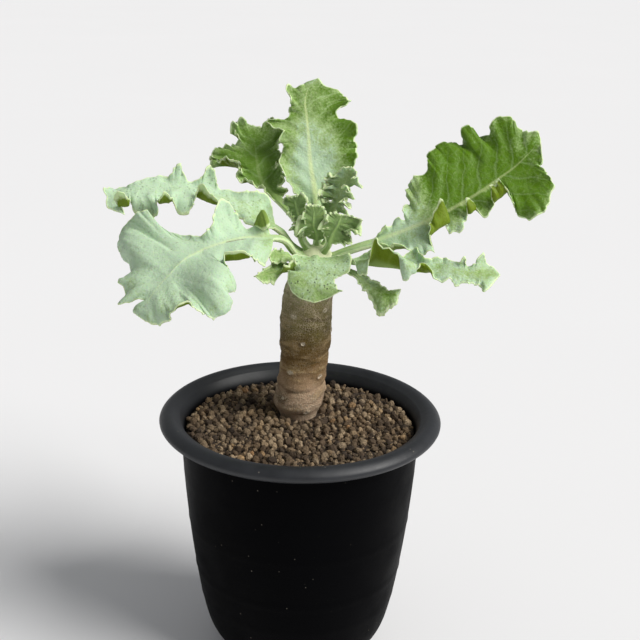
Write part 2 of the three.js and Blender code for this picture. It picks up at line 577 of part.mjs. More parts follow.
// A leaf's middle surface, from its rib and its two margins.
class Blade {
  constructor(leaf) {
    this.leaf = leaf;
    const points = leaf.rib.map((point) => new THREE.Vector3(...point));
    this.rib = new THREE.CatmullRomCurve3([...seatPoints(leaf.seat), ...points], false, 'chordal');
    this.rib.arcLengthDivisions = 600;
    this.length = this.rib.getLength();
    this.faces = leaf.face.map((way, i) => [i / (leaf.face.length - 1), ...way]);
    const root = [leaf.blade, 0, this.radius(leaf.blade), 0];
    const [along, out, up] = leaf.tip;
    this.left = [root, ...leaf.left, [this.length, along, -out, up]];
    this.right = [root, ...leaf.right, [this.length, along, out, up]];
  }

  // Half the thickness of the stalk and, beyond it, of the midrib.
  radius(s) {
    const { blade, stalk } = this.leaf;
    if (s < blade) return stalk[0] + ((stalk[1] - stalk[0]) * s) / blade;
    const end = (s - blade) / (this.length - blade);
    return stalk[1] * Math.max(0, 1 - end) ** 0.8 + 0.35 * end;
  }

  // The rib's point, direction, upper side and right-hand side.
  frame(s) {
    const u = THREE.MathUtils.clamp(s / this.length, 0, 1);
    const ahead = this.rib.getTangentAt(u);
    const hint = new THREE.Vector3(...smooth(this.faces, u));
    const upper = hint.addScaledVector(ahead, -hint.dot(ahead)).normalize();
    return { point: this.rib.getPointAt(u), ahead, upper, right: ahead.clone().cross(upper) };
  }

  margin(s, side) {
    if (s < this.leaf.blade) return [0, this.radius(s), 0];
    return smooth(side < 0 ? this.left : this.right, s);
  }

  width(s, side) {
    const [along, out] = this.margin(s, side);
    return Math.max(Math.hypot(along, out), this.radius(s));
  }

  // The surface at part v of the way from the rib to the margin.
  at(s, side, v, frame = this.frame(s)) {
    const [along, margin, up] = this.margin(s, side);
    const { frill, blade } = this.leaf;
    let lift = up * v ** 2.2;
    let out = margin;
    if (frill) {
      const [height, wave, start] = frill;
      const phase = (2 * Math.PI * s) / wave + start + (side > 0 ? 1.3 : 0);
      const near = THREE.MathUtils.clamp((s - blade) / 6, 0, 1);
      const far = THREE.MathUtils.clamp((this.length - s) / 6, 0, 1);
      const part = height * near * far * v ** 3;
      lift += part * Math.sin(phase);
      out += (0.5 * part * Math.cos(phase)) / Math.max(v, 0.05);
    }
    const ease = 1 + (0.8 * Math.max(out, 0)) / (Math.abs(out) + Math.abs(along) + 0.1);
    return frame.point.clone()
      .addScaledVector(frame.ahead, along * v ** ease)
      .addScaledVector(frame.right, side * out * v)
      .addScaledVector(frame.upper, lift);
  }

  // Stations closer together where the margins run long.
  stations(count) {
    const samples = 500;
    const travelled = [0];
    let before = null;
    for (let i = 0; i <= samples; i += 1) {
      const s = (this.length * i) / samples;
      const frame = this.frame(s);
      const ends = [this.at(s, -1, 1, frame), this.at(s, 1, 1, frame)];
      if (before) {
        const margins = ends[0].distanceTo(before[0]) + ends[1].distanceTo(before[1]);
        travelled.push(travelled.at(-1) + margins + this.length / samples);
      }
      before = ends;
    }
    const list = [];
    let i = 0;
    for (let n = 0; n < count; n += 1) {
      const wanted = (travelled.at(-1) * n) / (count - 1);
      while (i < samples - 1 && travelled[i + 1] < wanted) i += 1;
      const part = (wanted - travelled[i]) / (travelled[i + 1] - travelled[i]);
      list.push((this.length * (i + Math.min(part, 1))) / samples);
    }
    return list;
  }
}

// Adds up the area-weighted normals of a grid of points, column by column.
function gridNormals(grid) {
  const normals = grid.map((column) => column.map(() => new THREE.Vector3()));
  const add = (corners) => {
    const [a, b, c] = corners.map(([k, i]) => grid[k][i]);
    const normal = b.clone().sub(a).cross(c.clone().sub(a));
    for (const [k, i] of corners) normals[k][i].add(normal);
  };
  for (let k = 0; k < grid.length - 1; k += 1) {
    for (let i = 0; i < grid[k].length - 1; i += 1) {
      add([[k, i], [k + 1, i], [k + 1, i + 1]]);
      add([[k, i], [k + 1, i + 1], [k, i + 1]]);
    }
  }
  return normals;
}

// One closed blade: the same grid of triangles above and below the middle surface.
function leafGeometry(leaf) {
  const blade = new Blade(leaf);
  const [count, columns] = blade.length > BIG_LEAF ? BIG_GRID : SMALL_GRID;
  const stations = blade.stations(count);
  const frames = stations.map((s) => blade.frame(s));
  const order = [];
  for (let k = columns + 1; k > 0; k -= 1) order.push([-1, k]);
  order.push([1, 0]);
  for (let k = 1; k <= columns + 1; k += 1) order.push([1, k]);

  // Distance from the rib: the first column bounds the midrib, the rest share the blade.
  const distance = (s, side, k) => {
    if (k === 0) return 0;
    const width = blade.width(s, side);
    const first = Math.min(blade.radius(s), width / (columns + 1));
    return first + ((width - first) * (k - 1)) / columns;
  };
  const grid = order.map(([side, k]) => stations.map((s, i) => {
    const part = distance(s, side, k) / blade.width(s, side);
    return blade.at(s, side, part, frames[i]);
  }));

  // Both margins meet at the tip.
  const last = count - 1;
  const join = (columnsOf) => {
    for (let k = 0; k < columns + 1; k += 1) {
      const [a, b] = [columnsOf[k], columnsOf[order.length - 1 - k]];
      a[last].add(b[last]);
      b[last].copy(a[last]);
    }
  };
  join(grid);
  for (let k = 0; k < order.length; k += 1) {
    if (k !== columns + 1) grid[k][last].multiplyScalar(0.5);
  }
  const normals = gridNormals(grid);
  join(normals);

  const positions = [];
  const skin = (under) => {
    order.forEach(([side, k], column) => {
      stations.forEach((s, i) => {
        const away = distance(s, side, k);
        const bump = Math.sqrt(Math.max(blade.radius(s) ** 2 - away ** 2, 0));
        const stalk = THREE.MathUtils.clamp((leaf.blade + 10 - s) / 14, 0, 1);
        const raised = bump * (under ? 0.75 + 0.25 * stalk : 0.25 + 0.6 * stalk);
        const thickness = Math.max(BLADE_HALF, raised) * (under ? -1 : 1);
        const way = normals[column][i].clone().normalize();
        way.addScaledVector(frames[i].upper, STIFFNESS).normalize();
        positions.push(...grid[column][i].clone().addScaledVector(way, thickness));
      });
    });
  };
  skin(false);
  skin(true);

  const index = [];
  const at = (under, k, i) => (under * order.length + k) * count + i;
  const quad = (a, b, c, d) => index.push(a, b, c, a, c, d);
  for (let k = 0; k < order.length - 1; k += 1) {
    for (let i = 0; i < last; i += 1) {
      index.push(at(0, k, i), at(0, k + 1, i), at(0, k + 1, i + 1));
      index.push(at(0, k, i), at(0, k + 1, i + 1), at(0, k, i + 1));
      index.push(at(1, k, i), at(1, k + 1, i + 1), at(1, k + 1, i));
      index.push(at(1, k, i), at(1, k, i + 1), at(1, k + 1, i + 1));
    }
    quad(at(0, k, 0), at(1, k, 0), at(1, k + 1, 0), at(0, k + 1, 0));
  }
  const edge = order.length - 1;
  for (let i = 0; i < last; i += 1) {
    quad(at(0, 0, i), at(0, 0, i + 1), at(1, 0, i + 1), at(1, 0, i));
    quad(at(0, edge, i), at(1, edge, i), at(1, edge, i + 1), at(0, edge, i + 1));
  }
  const geometry = new THREE.BufferGeometry();
  geometry.setAttribute('position', new THREE.Float32BufferAttribute(positions, 3));
  geometry.setIndex(index);
  return weld(geometry);
}

function addPiece(group, name, geometry, colour, roughness) {
  const material = new THREE.MeshStandardMaterial({ color: colour, roughness, metalness: 0 });
  const mesh = new THREE.Mesh(geometry, material);
  mesh.name = name;
  group.add(mesh);
}

function leafColour(name) {
  if (FRESH_LEAVES.includes(name)) return COLOURS.fresh;
  return DARK_LEAVES.includes(name) ? COLOURS.dark : COLOURS.pale;
}

const group = new THREE.Group();
addPiece(group, 'pot', potGeometry(), COLOURS.pot, 0.45);
addPiece(group, 'soil', soilGeometry(), COLOURS.soil, 0.95);
addPiece(group, 'stem', stemGeometry(), COLOURS.stem, 0.9);
for (const [name, leaf] of Object.entries(LEAVES)) {
  addPiece(group, name, leafGeometry(leaf), leafColour(name), 0.6);
}

export default group;
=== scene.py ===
"""Potted othonna cyclophylla: fine leaves, bark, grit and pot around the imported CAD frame.

The tables are in millimetres, as the CAD source has them; Blender's lengths are metres.
"""
import math

import bmesh
import bpy
import numpy as np
from bpy.props import FloatProperty, FloatVectorProperty, IntProperty, PointerProperty
from mathutils import Matrix, Vector, noise


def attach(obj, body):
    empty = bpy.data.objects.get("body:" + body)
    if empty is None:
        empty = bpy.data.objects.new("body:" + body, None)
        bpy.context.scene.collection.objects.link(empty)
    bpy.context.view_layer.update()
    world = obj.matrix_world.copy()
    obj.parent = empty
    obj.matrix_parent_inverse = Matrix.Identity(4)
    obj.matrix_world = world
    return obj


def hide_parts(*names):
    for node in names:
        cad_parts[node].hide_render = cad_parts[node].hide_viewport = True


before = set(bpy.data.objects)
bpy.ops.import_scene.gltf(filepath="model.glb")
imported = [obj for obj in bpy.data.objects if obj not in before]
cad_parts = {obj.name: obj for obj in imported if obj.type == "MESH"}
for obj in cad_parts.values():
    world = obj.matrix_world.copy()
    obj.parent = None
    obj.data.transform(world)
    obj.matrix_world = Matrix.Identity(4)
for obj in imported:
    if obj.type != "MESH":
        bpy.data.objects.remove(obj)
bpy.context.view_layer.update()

bl_info = {
    "name": "Potted othonna cyclophylla",
    "version": (1, 0, 0),
    "blender": (4, 5, 0),
    "location": "View3D > Sidebar > Othonna",
    "description": "Builds a potted caudex plant with wavy leaves around its CAD frame",
    "category": "Add Mesh",
}

MM = 0.001

# Pot and soil, as in the CAD source
POT_HEIGHT = 112
RIM_RADIUS = 60
MOUTH_RADIUS = 51.3
BASE_RADIUS = 28
WALL = 1.9
FLOOR = 3
DRAIN_HOLES = 6
DRAIN_RADIUS = 3
DRAIN_RING = 18
OUTER_WALL = [[BASE_RADIUS, 0], [37.5, 10], [42.3, 25], [46.3, 50], [49.1, 76], [51, POT_HEIGHT - 8]]
LIP = [
    [52.8, POT_HEIGHT - 6.2], [57.6, POT_HEIGHT - 6], [RIM_RADIUS, POT_HEIGHT - 3.2],
    [57.8, POT_HEIGHT - 0.5], [54.8, POT_HEIGHT], [MOUTH_RADIUS, POT_HEIGHT - 2],
]
SOIL_LEVEL = 105.6
SOIL_RISE = 2
GAP = 0.3
# Faint ridges round the pot: height, and how far they stand out; then their half width
RIDGES = [[86, 0.12], [64.6, 0.22], [41.7, 0.22], [28, 0.12]]
RIDGE_HALF = 0.9
# Sides and rings of the turned meshes
POT_SIDES = 144
SOIL_SIDES = 120
SOIL_RINGS = 46
STEM_SIDES = 240
STEM_RINGS = 270
CROWN_RINGS = 34

# Grains: usual width, least spacing, and how far they keep from the stem's middle
GRAIN_SIZE = 2.7
GRAIN_SPACING = 2.3
STEM_CLEAR = 9.2
# Two layers of grains, as parts of the usual ones: least and greatest size, spacing, lift
GRAIN_LAYERS = [[0.65, 1.15, 0.9, -0.12], [0.65, 1.7, 1.35, 0.3]]
# Lumps of the grains: their height, and the scale of the noise that makes them
LUMP_HEIGHT = 1.7
LUMP_SCALE = 520.0
# Tints: place on the scale, then red, green and blue
# The first, darkest grain tint is also taken by the filling between the grains, which has no tint of its
# own: painted shade in the gaps.
GRAIN_TINTS = [
    [0.0, 64, 53, 42], [0.25, 118, 98, 76], [0.6, 158, 134, 104], [0.88, 198, 174, 142],
    [0.97, 190, 156, 114], [1.0, 186, 142, 98],
]
BARK_TINTS = [
    [0.0, 184, 155, 130], [0.14, 158, 130, 100], [0.3, 102, 76, 34], [0.5, 84, 64, 18],
    [0.68, 98, 88, 36], [0.86, 138, 130, 82], [0.96, 206, 214, 160], [1.0, 226, 232, 190],
]

# Stem: rows of height, how far its middle lies to the right, and radius
STEM_BACK = 8.5
ROOT_BOTTOM = 86
ROOT_TOP = 108.5
STEM_ROWS = [
    [ROOT_BOTTOM, -1, 2.5], [92, -1, 5], [100, -1, 6.8], [106, -1, 7.7], [ROOT_TOP, -1.2, 8.6],
    [112, -1.2, 10.6], [117, -0.4, 10.5], [125, 0.3, 10], [135, 1.1, 10.3], [146, 1.5, 10.9],
    [153, 1.9, 10.8], [160, 2.4, 10.5], [166, 3.2, 10], [172, 5.5, 8.5],
]
# Creases that run round the bark: height, depth and half their width
CREASES = [
    [161.5, 0.25, 0.8], [148.4, 0.3, 0.9], [136, 0.55, 1.2], [128.6, 0.2, 0.8], [121.3, 0.5, 1.1],
    [115.2, 0.25, 0.9],
]
# Scars of old leaves: turn from +X in degrees, height, and radius
SCARS = [
    [-120, 154.3, 2.3], [-94, 142.5, 1.7], [-120, 129, 2.2], [-42, 126.6, 2], [-132, 116.8, 1.5],
    [-70, 111, 1.9], [-48, 157, 2], [-165, 140, 1.8], [-12, 146, 2], [28, 153, 2.2], [62, 138, 1.8],
    [95, 150, 2.2], [128, 131, 2], [160, 155, 1.9], [175, 122, 1.8], [8, 118, 1.7], [75, 120, 2],
]
CROWN = np.array([5.5, STEM_BACK, 172.0])
CROWN_RADIUS = 8.5
CROWN_HEIGHT = 11

# How far each stalk runs straight out from the crown
STALK_REACH = 3
# Meshes of the leaves: stations along the rib, and columns from there to each margin
BIG_MESH = (330, 20)
SMALL_MESH = (190, 13)
HEART_MESH = (340, 16)
# A longer leaf than this is a big one
BIG_LEAF = 55
# Columns of each half that the midrib has, and stations of the stalk inside the crown
RIB_COLUMNS = 5
SUNK_STATIONS = [-1.5, -0.8]
# At how many points a rib and a margin are measured
RIB_SAMPLES = 800
MARGIN_SAMPLES = 1600
# Side veins: the distance between them, and how far they lean forward on their way out
VEIN_PITCH = 8.5
VEIN_SLANT = 0.8
# How far a blade stands up between its side veins
BIG_SWELL = 0.3
SMALL_SWELL = 0.12
# The length at a blade's start and end over which its waves grow
WAVE_FADE = 6
# How far the thickness follows the rib's upper side rather than the surface's own
STIFFNESS = 1.3
# How much a rolled margin narrows its pale rim, and how far the lip stands out from it
ROLLED_RIM = 1.3
LIP_REACH = 0.22
# Where the camera stands, and half the width of the studio's floor in metres
CAMERA = (7.5, -471.85, 317.95)
STUDIO_HALF = 6.0

# Each leaf, in the form of the CAD source, from which a few rows depart by some
# millimetres. seat: where its stalk leaves the crown, as the turn from +X and the height
# angle. rib: further points of the midrib. face: where the upper side looks, from the
# stalk to the tip. blade: how far along the rib the blade begins. stalk: its half
# thickness at the crown and at the blade. left and right: the margins, in rows of the
# distance along the rib, how far forward of it, how far out, and how far up. tip: the
# same three for the end. frill: height, length and start of a fine wave.
LEAVES = {
    "leaf_front_left": {
        "seat": [207, 38], "blade": 18, "stalk": [1.8, 1.7], "tip": [3.5, 7, -3],
        "face": [[0, -0.2, 1], [-0.05, -0.3, 1], [-0.2, -0.5, 1], [-0.45, -0.6, 0.8]],
        "rib": [
            [-8, 0, 187], [-17, -5, 189], [-24, -10, 190], [-32, -15, 189], [-40, -20, 187],
            [-47, -26, 184], [-52, -31, 179], [-56, -36, 175], [-59, -39, 170],
        ],
        "left": [
            [21, 0, 7, -2], [27.5, 0, 12.5, -6], [33.5, 0, 14.5, -2], [38.5, 0, 17, 4],
            [42.5, 0, 15.5, 6], [46.5, 0.5, 13.5, 4], [48.5, -0.5, 17.5, 0], [50, -1.5, 21, -5],
            [55, -1, 23.5, -5], [60, 0, 25, -4], [63.5, 0, 28.5, -6], [65, 3.5, 28.5, -7],
            [67, 6.5, 26.5, -7], [69, 6, 23, -3], [70.5, 7, 22, 0.5], [72.5, 6, 20, 4], [74, 7.5, 18, 4],
            [76, 7, 14.5, 1], [78, 7, 11.5, -3], [79.5, 7.5, 7.5, -3], [81.5, 6.5, 2.5, -1.5],
        ],
        "right": [
            [20, -1, 2.5, 3], [21.5, -1.5, 6, 8], [25, 0, 5.5, 2], [34.5, 0, 12.5, 12], [44.5, 0, 5.5, 4],
            [49, 0, 10, 1], [51, 2, 18, 0.5], [52.5, 2, 24.5, 2], [54.5, 1, 28, 8], [56.5, 1.5, 30.5, 7],
            [58, 1.5, 33.5, 3], [60, 2, 36.5, 0], [61.5, 2, 36, -4], [63.5, 1.5, 34, -7],
            [65.5, 2, 26, -7], [67, 4, 20, -4], [69, 8.5, 19, 0], [70.5, 8, 16.5, -2],
            [72.5, 8.5, 12.5, -3], [74, 11.5, 13, -2.5], [76, 8, 9.5, -1.5], [78, 3.5, 5, 0.5],
            [79.5, 1.5, 2.5, -1], [81.5, 3.5, 6, -1],
        ],
    },
    "leaf_left": {
        "seat": [171, 40], "blade": 16, "stalk": [1.8, 1.6], "tip": [3, -2.5, 0],
        "face": [[0, -0.1, 1], [0.1, -0.25, 1], [0, -0.45, 1], [-0.2, -0.7, 0.9]],
        "rib": [
            [-9, 8, 188], [-15, 8, 192], [-22, 9, 196], [-30, 10, 200], [-38, 10, 203], [-47, 9, 205],
            [-57, 6, 206], [-66, 3, 206], [-73, 0, 204], [-76, -2, 202], [-75, -4, 199],
        ],
        "left": [
            [20, 0, 6.5, 0], [24.5, 0, 7.5, -1], [29.5, 0, 5.5, -2], [36.5, 0, 4, 0], [40.5, 0, 6.5, 2],
            [46.5, 0, 7.5, 5], [50.5, 0.5, 4.5, 6], [53, -1, 5.5, 2.5], [55, -2, 8, -2],
            [56.5, -1.5, 8.5, -6], [58.5, 0, 9, -7], [61, 0, 8, -4], [63.5, 0.5, 11, 3],
            [65.5, 1.5, 12, 7], [67, 1.5, 12.5, 5.5], [69, 0.5, 8.5, -1], [73, -3, 10.5, -4.5],
            [74.5, -2, 9, -9], [76.5, 0.5, 7.5, -8], [78, 2, 5.5, -6], [79.5, 1, 3.5, -2],
            [81, 2, 7.5, 6], [83, 2, 6.5, 9], [84.5, 2.5, 5, 6.5], [87.5, 1.5, 2.5, 1],
        ],
        "right": [
            [21.5, 0, 9.5, 2], [26, 0, 11.5, 4], [31.5, 0, 6.5, 5], [35.5, 0, 4.5, 3], [39.5, 0, 5.5, 1],
            [44, 0, 4, 2], [46, 0, 6, 6], [48.5, 0.5, 6.5, 9], [50, 0, 4.5, 5], [52.5, 0, 4, 2],
            [56, 0, 4, 2], [57.5, 0, 6, 5], [60, -0.5, 6.5, 7.5], [61.5, 0, 5.5, 3.5], [66, 0, 6.5, 1],
            [71.5, 0, 6, 0], [77.5, 0, 4.5, 0], [82, 0.5, 6, -1], [83.5, 4, 5.5, 3], [85, 2.5, 3.5, 0.5],
            [86.5, 1.5, 3, 0.5], [88.5, 0.5, 2.5, 0],
        ],
    },
    "leaf_back_left": {
        "seat": [134, 48], "blade": 26, "stalk": [1.8, 1.8], "tip": [4.5, 2, 0],
        "face": [[0.2, -0.6, 0.8], [0.1, -0.8, 0.6], [0, -0.9, 0.5]],
        "rib": [
            [-3, 18, 190], [-7, 22, 194], [-11, 26, 197], [-15, 30, 200], [-19, 33, 204], [-21, 37, 210],
            [-22, 42, 215], [-23, 46, 220],
        ],
        "left": [
            [29.5, 1, 2.5, 3], [34.5, 1, 2.5, 3], [36, 1, 4.5, 4.5], [38, 1.5, 7, 4], [41, 0, 9, 5],
            [42.5, 2, 7.5, 5], [44, 3, 12.5, 8.5], [45.5, 3.5, 18, 0], [47, 4.5, 19.5, 0],
            [48, 8, 17, -2], [49.5, 7, 12, -1], [51, 6.5, 7.5, 0], [52.5, 6.5, 7, 2], [54, 8, 8.5, 3],
            [55, 11, 7.5, 2], [56.5, 11, 3.5, 1], [58, 9, 2.5, 0],
        ],
        "right": [
            [28.5, -2, 3, -0.5], [30.5, -4.5, 5, 3], [32, -2.5, 3.5, 4], [33.5, -3, 6.5, 5],
            [37, 0, 8.5, 2], [43, 0, 8.5, 4], [47, 1, 11.5, 0], [48, 4, 10, -0.5], [49.5, 4, 9.5, 3],
            [51, 7, 12, 0], [52.5, 10.5, 13.5, -1.5], [53.5, 9.5, 9.5, 0], [55, 13.5, 9.5, -1.5],
            [56.5, 9.5, 6, 0], [58, 6, 4, 0],
        ],
    },
    "leaf_back": {
        "seat": [88, 48], "blade": 18, "stalk": [1.9, 2], "tip": [6, 3.5, 0],
        "face": [[0, -0.9, 0.5], [0.05, -0.9, 0.4], [-0.05, -0.9, 0.5], [-0.05, -0.85, 0.6]],
        "rib": [
            [5, 22, 193], [4, 26, 202], [2, 30, 212], [1, 34, 222], [0, 39, 230], [-1, 44, 236],
            [0, 48, 241],
        ],
        "left": [
            [22, 0, 7, 2], [28.5, 0, 10, 1], [34, 0, 12, 3], [38.5, 0, 13, 1], [43.5, 0, 11, -1],
            [47.5, 0, 12, 2], [50.5, 0, 10.5, 3], [52.5, 0.5, 15, 3], [54, 2.5, 17, 1],
            [55, 1.5, 13.5, 2], [56.5, 0.5, 10.5, -1], [58, 0, 8, 0], [59.5, 4, 6.5, -1.5],
            [61, 4, 5.5, 2], [62, 3.5, 5.5, 2.5], [63.5, 5, 8, 2.5], [65, 6, 8, 2.5], [66.5, 4, 6, -1],
            [68, 4.5, 2.5, 0], [69, 5, 2.5, -2],
        ],
        "right": [
            [19.5, -0.5, 4.5, -0.5], [21, 0, 7, 3], [25.5, 0, 11, 1], [28, 0, 14, 3], [31, 0, 17.5, 1],
            [36, 0, 19.5, 3], [42, 0, 20, -1], [45, 0, 19.5, 0], [48, 0, 20.5, 2], [51.5, 1, 19, 1],
            [52.5, 1.5, 16.5, -0.5], [54, 1, 14, -2], [57, 0, 13, 1], [58.5, -1, 15, 2], [65, 2, 18, 0],
            [66.5, 6, 14, -2], [68, 5.5, 10.5, -1], [69, 4.5, 7, 0],
        ],
    },
    "leaf_right": {
        "seat": [-6, 34], "blade": 19, "stalk": [1.9, 1.9], "tip": [2, 2.5, 1],
        "face": [[0, -0.3, 1], [-0.1, -0.7, 0.9], [-0.25, -0.9, 0.6], [-0.3, -0.85, 0.6]],
        "rib": [
            [23, 6, 183], [29, 6, 185], [36, 6, 188], [43, 6, 191], [52, 7, 195], [62, 9, 200],
            [71, 12, 205], [80, 15, 211], [87, 17, 216], [91, 18, 220], [94, 19, 223],
        ],
        "left": [
            [20.5, -1, 2.5, 0], [24.5, 0, 3, 3.5], [26.5, 0, 4.5, 1], [30, 0, 6.5, 1], [34, -0.5, 6, 0],
            [35.5, -1.5, 9, 2], [37, -1, 11.5, 0], [38.5, 0, 12.5, -2], [39.5, -1, 16, 0],
            [42, 0, 19.5, 0], [45, 0, 21, 2], [49, 0, 20.5, -1], [54.5, 0, 22.5, 0], [56.5, 0, 25.5, 0],
            [62, 0, 28, -1], [71, 0, 27.5, -3], [75.5, 0.5, 24.5, -3], [76.5, 0, 27, 0],
            [79.5, 1.5, 26.5, 0], [82.5, -0.5, 22.5, -4], [84, 2, 19, -2], [85.5, 3.5, 20.5, 1],
            [87, 7.5, 21.5, 0], [88, 10.5, 17.5, 0], [89.5, 8.5, 13.5, -1], [91, 7, 9, -1],
            [92.5, 9, 4, 0], [93.5, 7.5, 2.5, -2.5],
        ],
        "right": [
            [20.5, -0.5, 6, 5], [24, 0, 8.5, 5], [29, 0, 10, 4], [32.5, 0, 12, -2], [34, 0, 13.5, -2],
            [36.5, 0, 13, 0], [39.5, 0, 14.5, -2], [41, 0, 11, -1], [44, 0, 7.5, 3],
            [47.5, -1.5, 6.5, 5.5], [50, -3, 5.5, 2.5], [51.5, -4.5, 8, -2], [52.5, -1.5, 9, -3],
            [54.5, 0, 7.5, 0], [58.5, 0, 5, 4], [61, 0, 9.5, 0], [65, 0, 10, 1], [68, 0, 8.5, 4],
            [76, -2, 9, 6.5], [77.5, -3.5, 12.5, 0.5], [79, -5.5, 17, -3.5], [80.5, -5.5, 20, -3],
            [81.5, -4, 22, -2], [84.5, 0, 21, -1], [86, 0, 19, -1], [87.5, 2, 17.5, 0], [89, 2, 11.5, 0],
            [90.5, 1, 7.5, -1.5], [93.5, 0.5, 6, 0],
        ],
    },
    "leaf_front_right": {
        "seat": [-34, 16], "blade": 12, "stalk": [1.6, 1.5], "tip": [4.5, -4, -1],
        "face": [[0, -0.2, 1], [0, -0.35, 1], [0, -0.5, 1], [0.1, -0.4, 1]],
        "rib": [
            [17, -2, 179], [23, -6, 180], [30, -9, 180], [37, -11, 180], [44, -12, 179], [51, -13, 179],
            [59, -14, 180], [67, -15, 179], [74, -16, 178],
        ],
        "left": [
            [15.5, 0, 3.5, 1], [20, 0, 4, 4], [24, 0, 4, 5], [29, 0, 4, 4], [32, 0, 4.5, 2],
            [34.5, 0, 8, 1], [38, 0, 10.5, 3], [41.5, 0, 5, 3], [45, 0, 4.5, 3], [50.5, 0, 6, 1],
            [55, 0, 4, 1], [56.5, 0, 3, 2], [58, -0.5, 4, 5], [59.5, -0.5, 3, 1.5], [61.5, 0, 3.5, 1],
            [63, 0.5, 5, 5], [64.5, 0.5, 7.5, 5.5], [66, 1, 6.5, 1.5], [67, 3, 6.5, 0],
        ],
        "right": [
            [15, 0, 2.5, 2], [18, 0, 5, 0], [21, 0, 4, 1.5], [24, 0, 4, 4], [28, 0, 4.5, 5.5],
            [31, 0, 5, 5], [33.5, 0, 6, 3], [36, 0, 7, 1], [39, 0, 6.5, 1], [42, 0, 5, 2.5],
            [46.5, 0, 5.5, 1], [50, 0, 6, -0.5], [54, 0, 5.5, 0], [56.5, 0, 7.5, -2], [58.5, 0, 5.5, -1],
            [62, 0, 6, -1], [64, 0, 5, -0.5], [66, 0.5, 5, -2], [68, 2, 4, -1.5],
        ],
    },
    "leaf_small_right": {
        "seat": [-64, 12], "blade": 7, "stalk": [1.2, 1], "tip": [0.5, -2, -3],
        "face": [[0, -0.2, 1], [0, -0.4, 1], [0.1, -0.5, 1]],
        "rib": [
            [18, -6, 176], [22, -8, 175], [26, -10, 172], [31, -12, 170], [35, -14, 169], [37, -15, 169],
        ],
        "left": [
            [17.5, 0, 2.5, 0], [22.5, 0, 2.5, 1.5], [27.5, 0, 2.5, 1], [30.5, 1.5, 2.5, 0.5],
            [31.5, 3, 4, 1],
        ],
        "right": [
            [21, 0, 2.5, -0.5], [25, 0, 2.5, -3], [28.5, 0.5, 4.5, -6], [31, 1, 5.5, -7.5],
            [32, 1, 4, -5], [33, 3, 2.5, -2],
        ],
    },
    "leaf_front": {
        "seat": [268, 36], "blade": 4, "stalk": [1.8, 1.7], "tip": [3, -1, 0],
        "face": [[0, -0.3, 1], [0, -0.7, 0.8], [0, -0.95, 0.4], [0, -1, 0.2]],
        "rib": [[5, -7.5, 179.5], [5, -11.5, 176], [4, -13.5, 172], [4, -14, 168]],
        "left": [
            [6, -0.5, 7, 1], [7, -0.5, 10, 2.5], [8.2, -0.7, 13.5, 4], [9.5, -0.5, 14.5, 2.5],
            [11.5, 0, 14, 0], [13, 0.5, 13, -1], [14, 0.7, 9.3, -1], [16.5, 0, 9.3, -1],
            [18.3, 0.5, 11, 0], [19.6, 0.7, 12.3, 1], [20.6, 1.2, 10.5, 0.5], [21.5, 2.6, 7.5, 0],
        ],
        "right": [
            [6, -0.5, 6, 1], [7.5, -0.5, 9, 2], [10, 0, 9, 1.5], [12, 0, 7.6, -2], [13.7, 0, 8.2, -1.5],
            [15.2, 0.3, 10.7, 0], [17.5, 0.3, 10.2, -0.5], [19.5, 0.5, 9.3, -1], [20.8, 1.3, 7.8, -0.5],
            [21.6, 2.4, 5.5, 0],
        ],
    },
    "leaf_small_left": {
        "seat": [248, 12], "blade": 7, "stalk": [1.1, 0.9], "tip": [1.5, 0, 0],
        "face": [[0, -0.3, 1], [0, -0.5, 0.9], [-0.2, -0.6, 0.8]],
        "rib": [[-5, -3, 175], [-8, -5, 175], [-12, -7, 175], [-15, -10, 175], [-18, -12, 175]],
        "left": [[14, 0.5, 2.5, -1], [19, 0, 3.5, -3], [21.5, 0, 2.5, -2.5], [24.5, 0.5, 2.5, -0.5]],
        "right": [[10.5, 0, 5, 1], [15, 0, 5, 2], [18, 0, 2.5, 2], [20.5, 0, 2.5, 1]],
    },
    "leaf_shaded": {
        "seat": [222, 22], "blade": 5, "stalk": [1.1, 0.9], "tip": [2, 1, 1],
        "face": [[0, -0.5, 0.9], [0, -0.7, 0.7]],
        "rib": [[-7, -3, 181], [-10, -4, 181], [-12, -5, 181]],
        "left": [[12, 0, 2.5, -1], [14, 0.5, 2.5, -1], [15, 3, 2.5, 1.5]],
        "right": [[10.5, 0, 2.5, 0], [13, 0, 3, 1], [15, 0.5, 2.5, 1]],
    },
    "leaf_young_right": {
        "seat": [-50, 56], "blade": 5, "stalk": [1.4, 1.2], "tip": [1, 0, 0],
        "face": [[0.1, 0.9, 0.5], [0.1, 0.9, 0.6], [0, 0.8, 0.8]],
        "rib": [[12, 2, 190], [14, 1, 194], [15, 1, 197]],
        "left": [
            [6, 0, 3, -1.5], [11, 0, 7, -2], [12, 0, 5, 2], [14, 0, 6, -2], [15, 1.5, 8, -3],
            [16, 3.5, 7, -3], [17, 2, 3.5, -1],
        ],
        "right": [
            [6.5, 0, 2.5, 0], [9.5, 0, 4.5, 1], [14, 0, 5, 0], [16, 1.5, 4.5, 1], [17, 1.5, 2.5, 1],
        ],
    },
    "leaf_young_left": {
        "seat": [188, 62], "blade": 4.5, "stalk": [1.5, 1.2], "tip": [1.5, -1, 0], "frill": [1.2, 5, 0],
        "face": [[0.5, 0.9, 0.3], [0.4, 0.9, 0.3], [0.2, 0.9, 0.4]],
        "rib": [[-1, 10, 192], [-3, 11, 197], [-4, 11, 201]],
        "left": [
            [5.2, 0, 3, 0.5], [9, -0.5, 5, 1], [11, 0, 5.5, -0.5], [13.5, 0, 5.5, 0], [17.5, 0, 5.5, 0],
            [19, 1.5, 5, 1], [20, 3, 3, 0],
        ],
        "right": [
            [5.2, 0, 2.8, -0.5], [9, 0, 3.4, 0], [14.5, 0, 3.2, 0], [18, 0.5, 4, 1], [19, 2.5, 5, 1],
            [20, 2.5, 2.5, 1.5],
        ],
    },
    "leaf_young_back": {
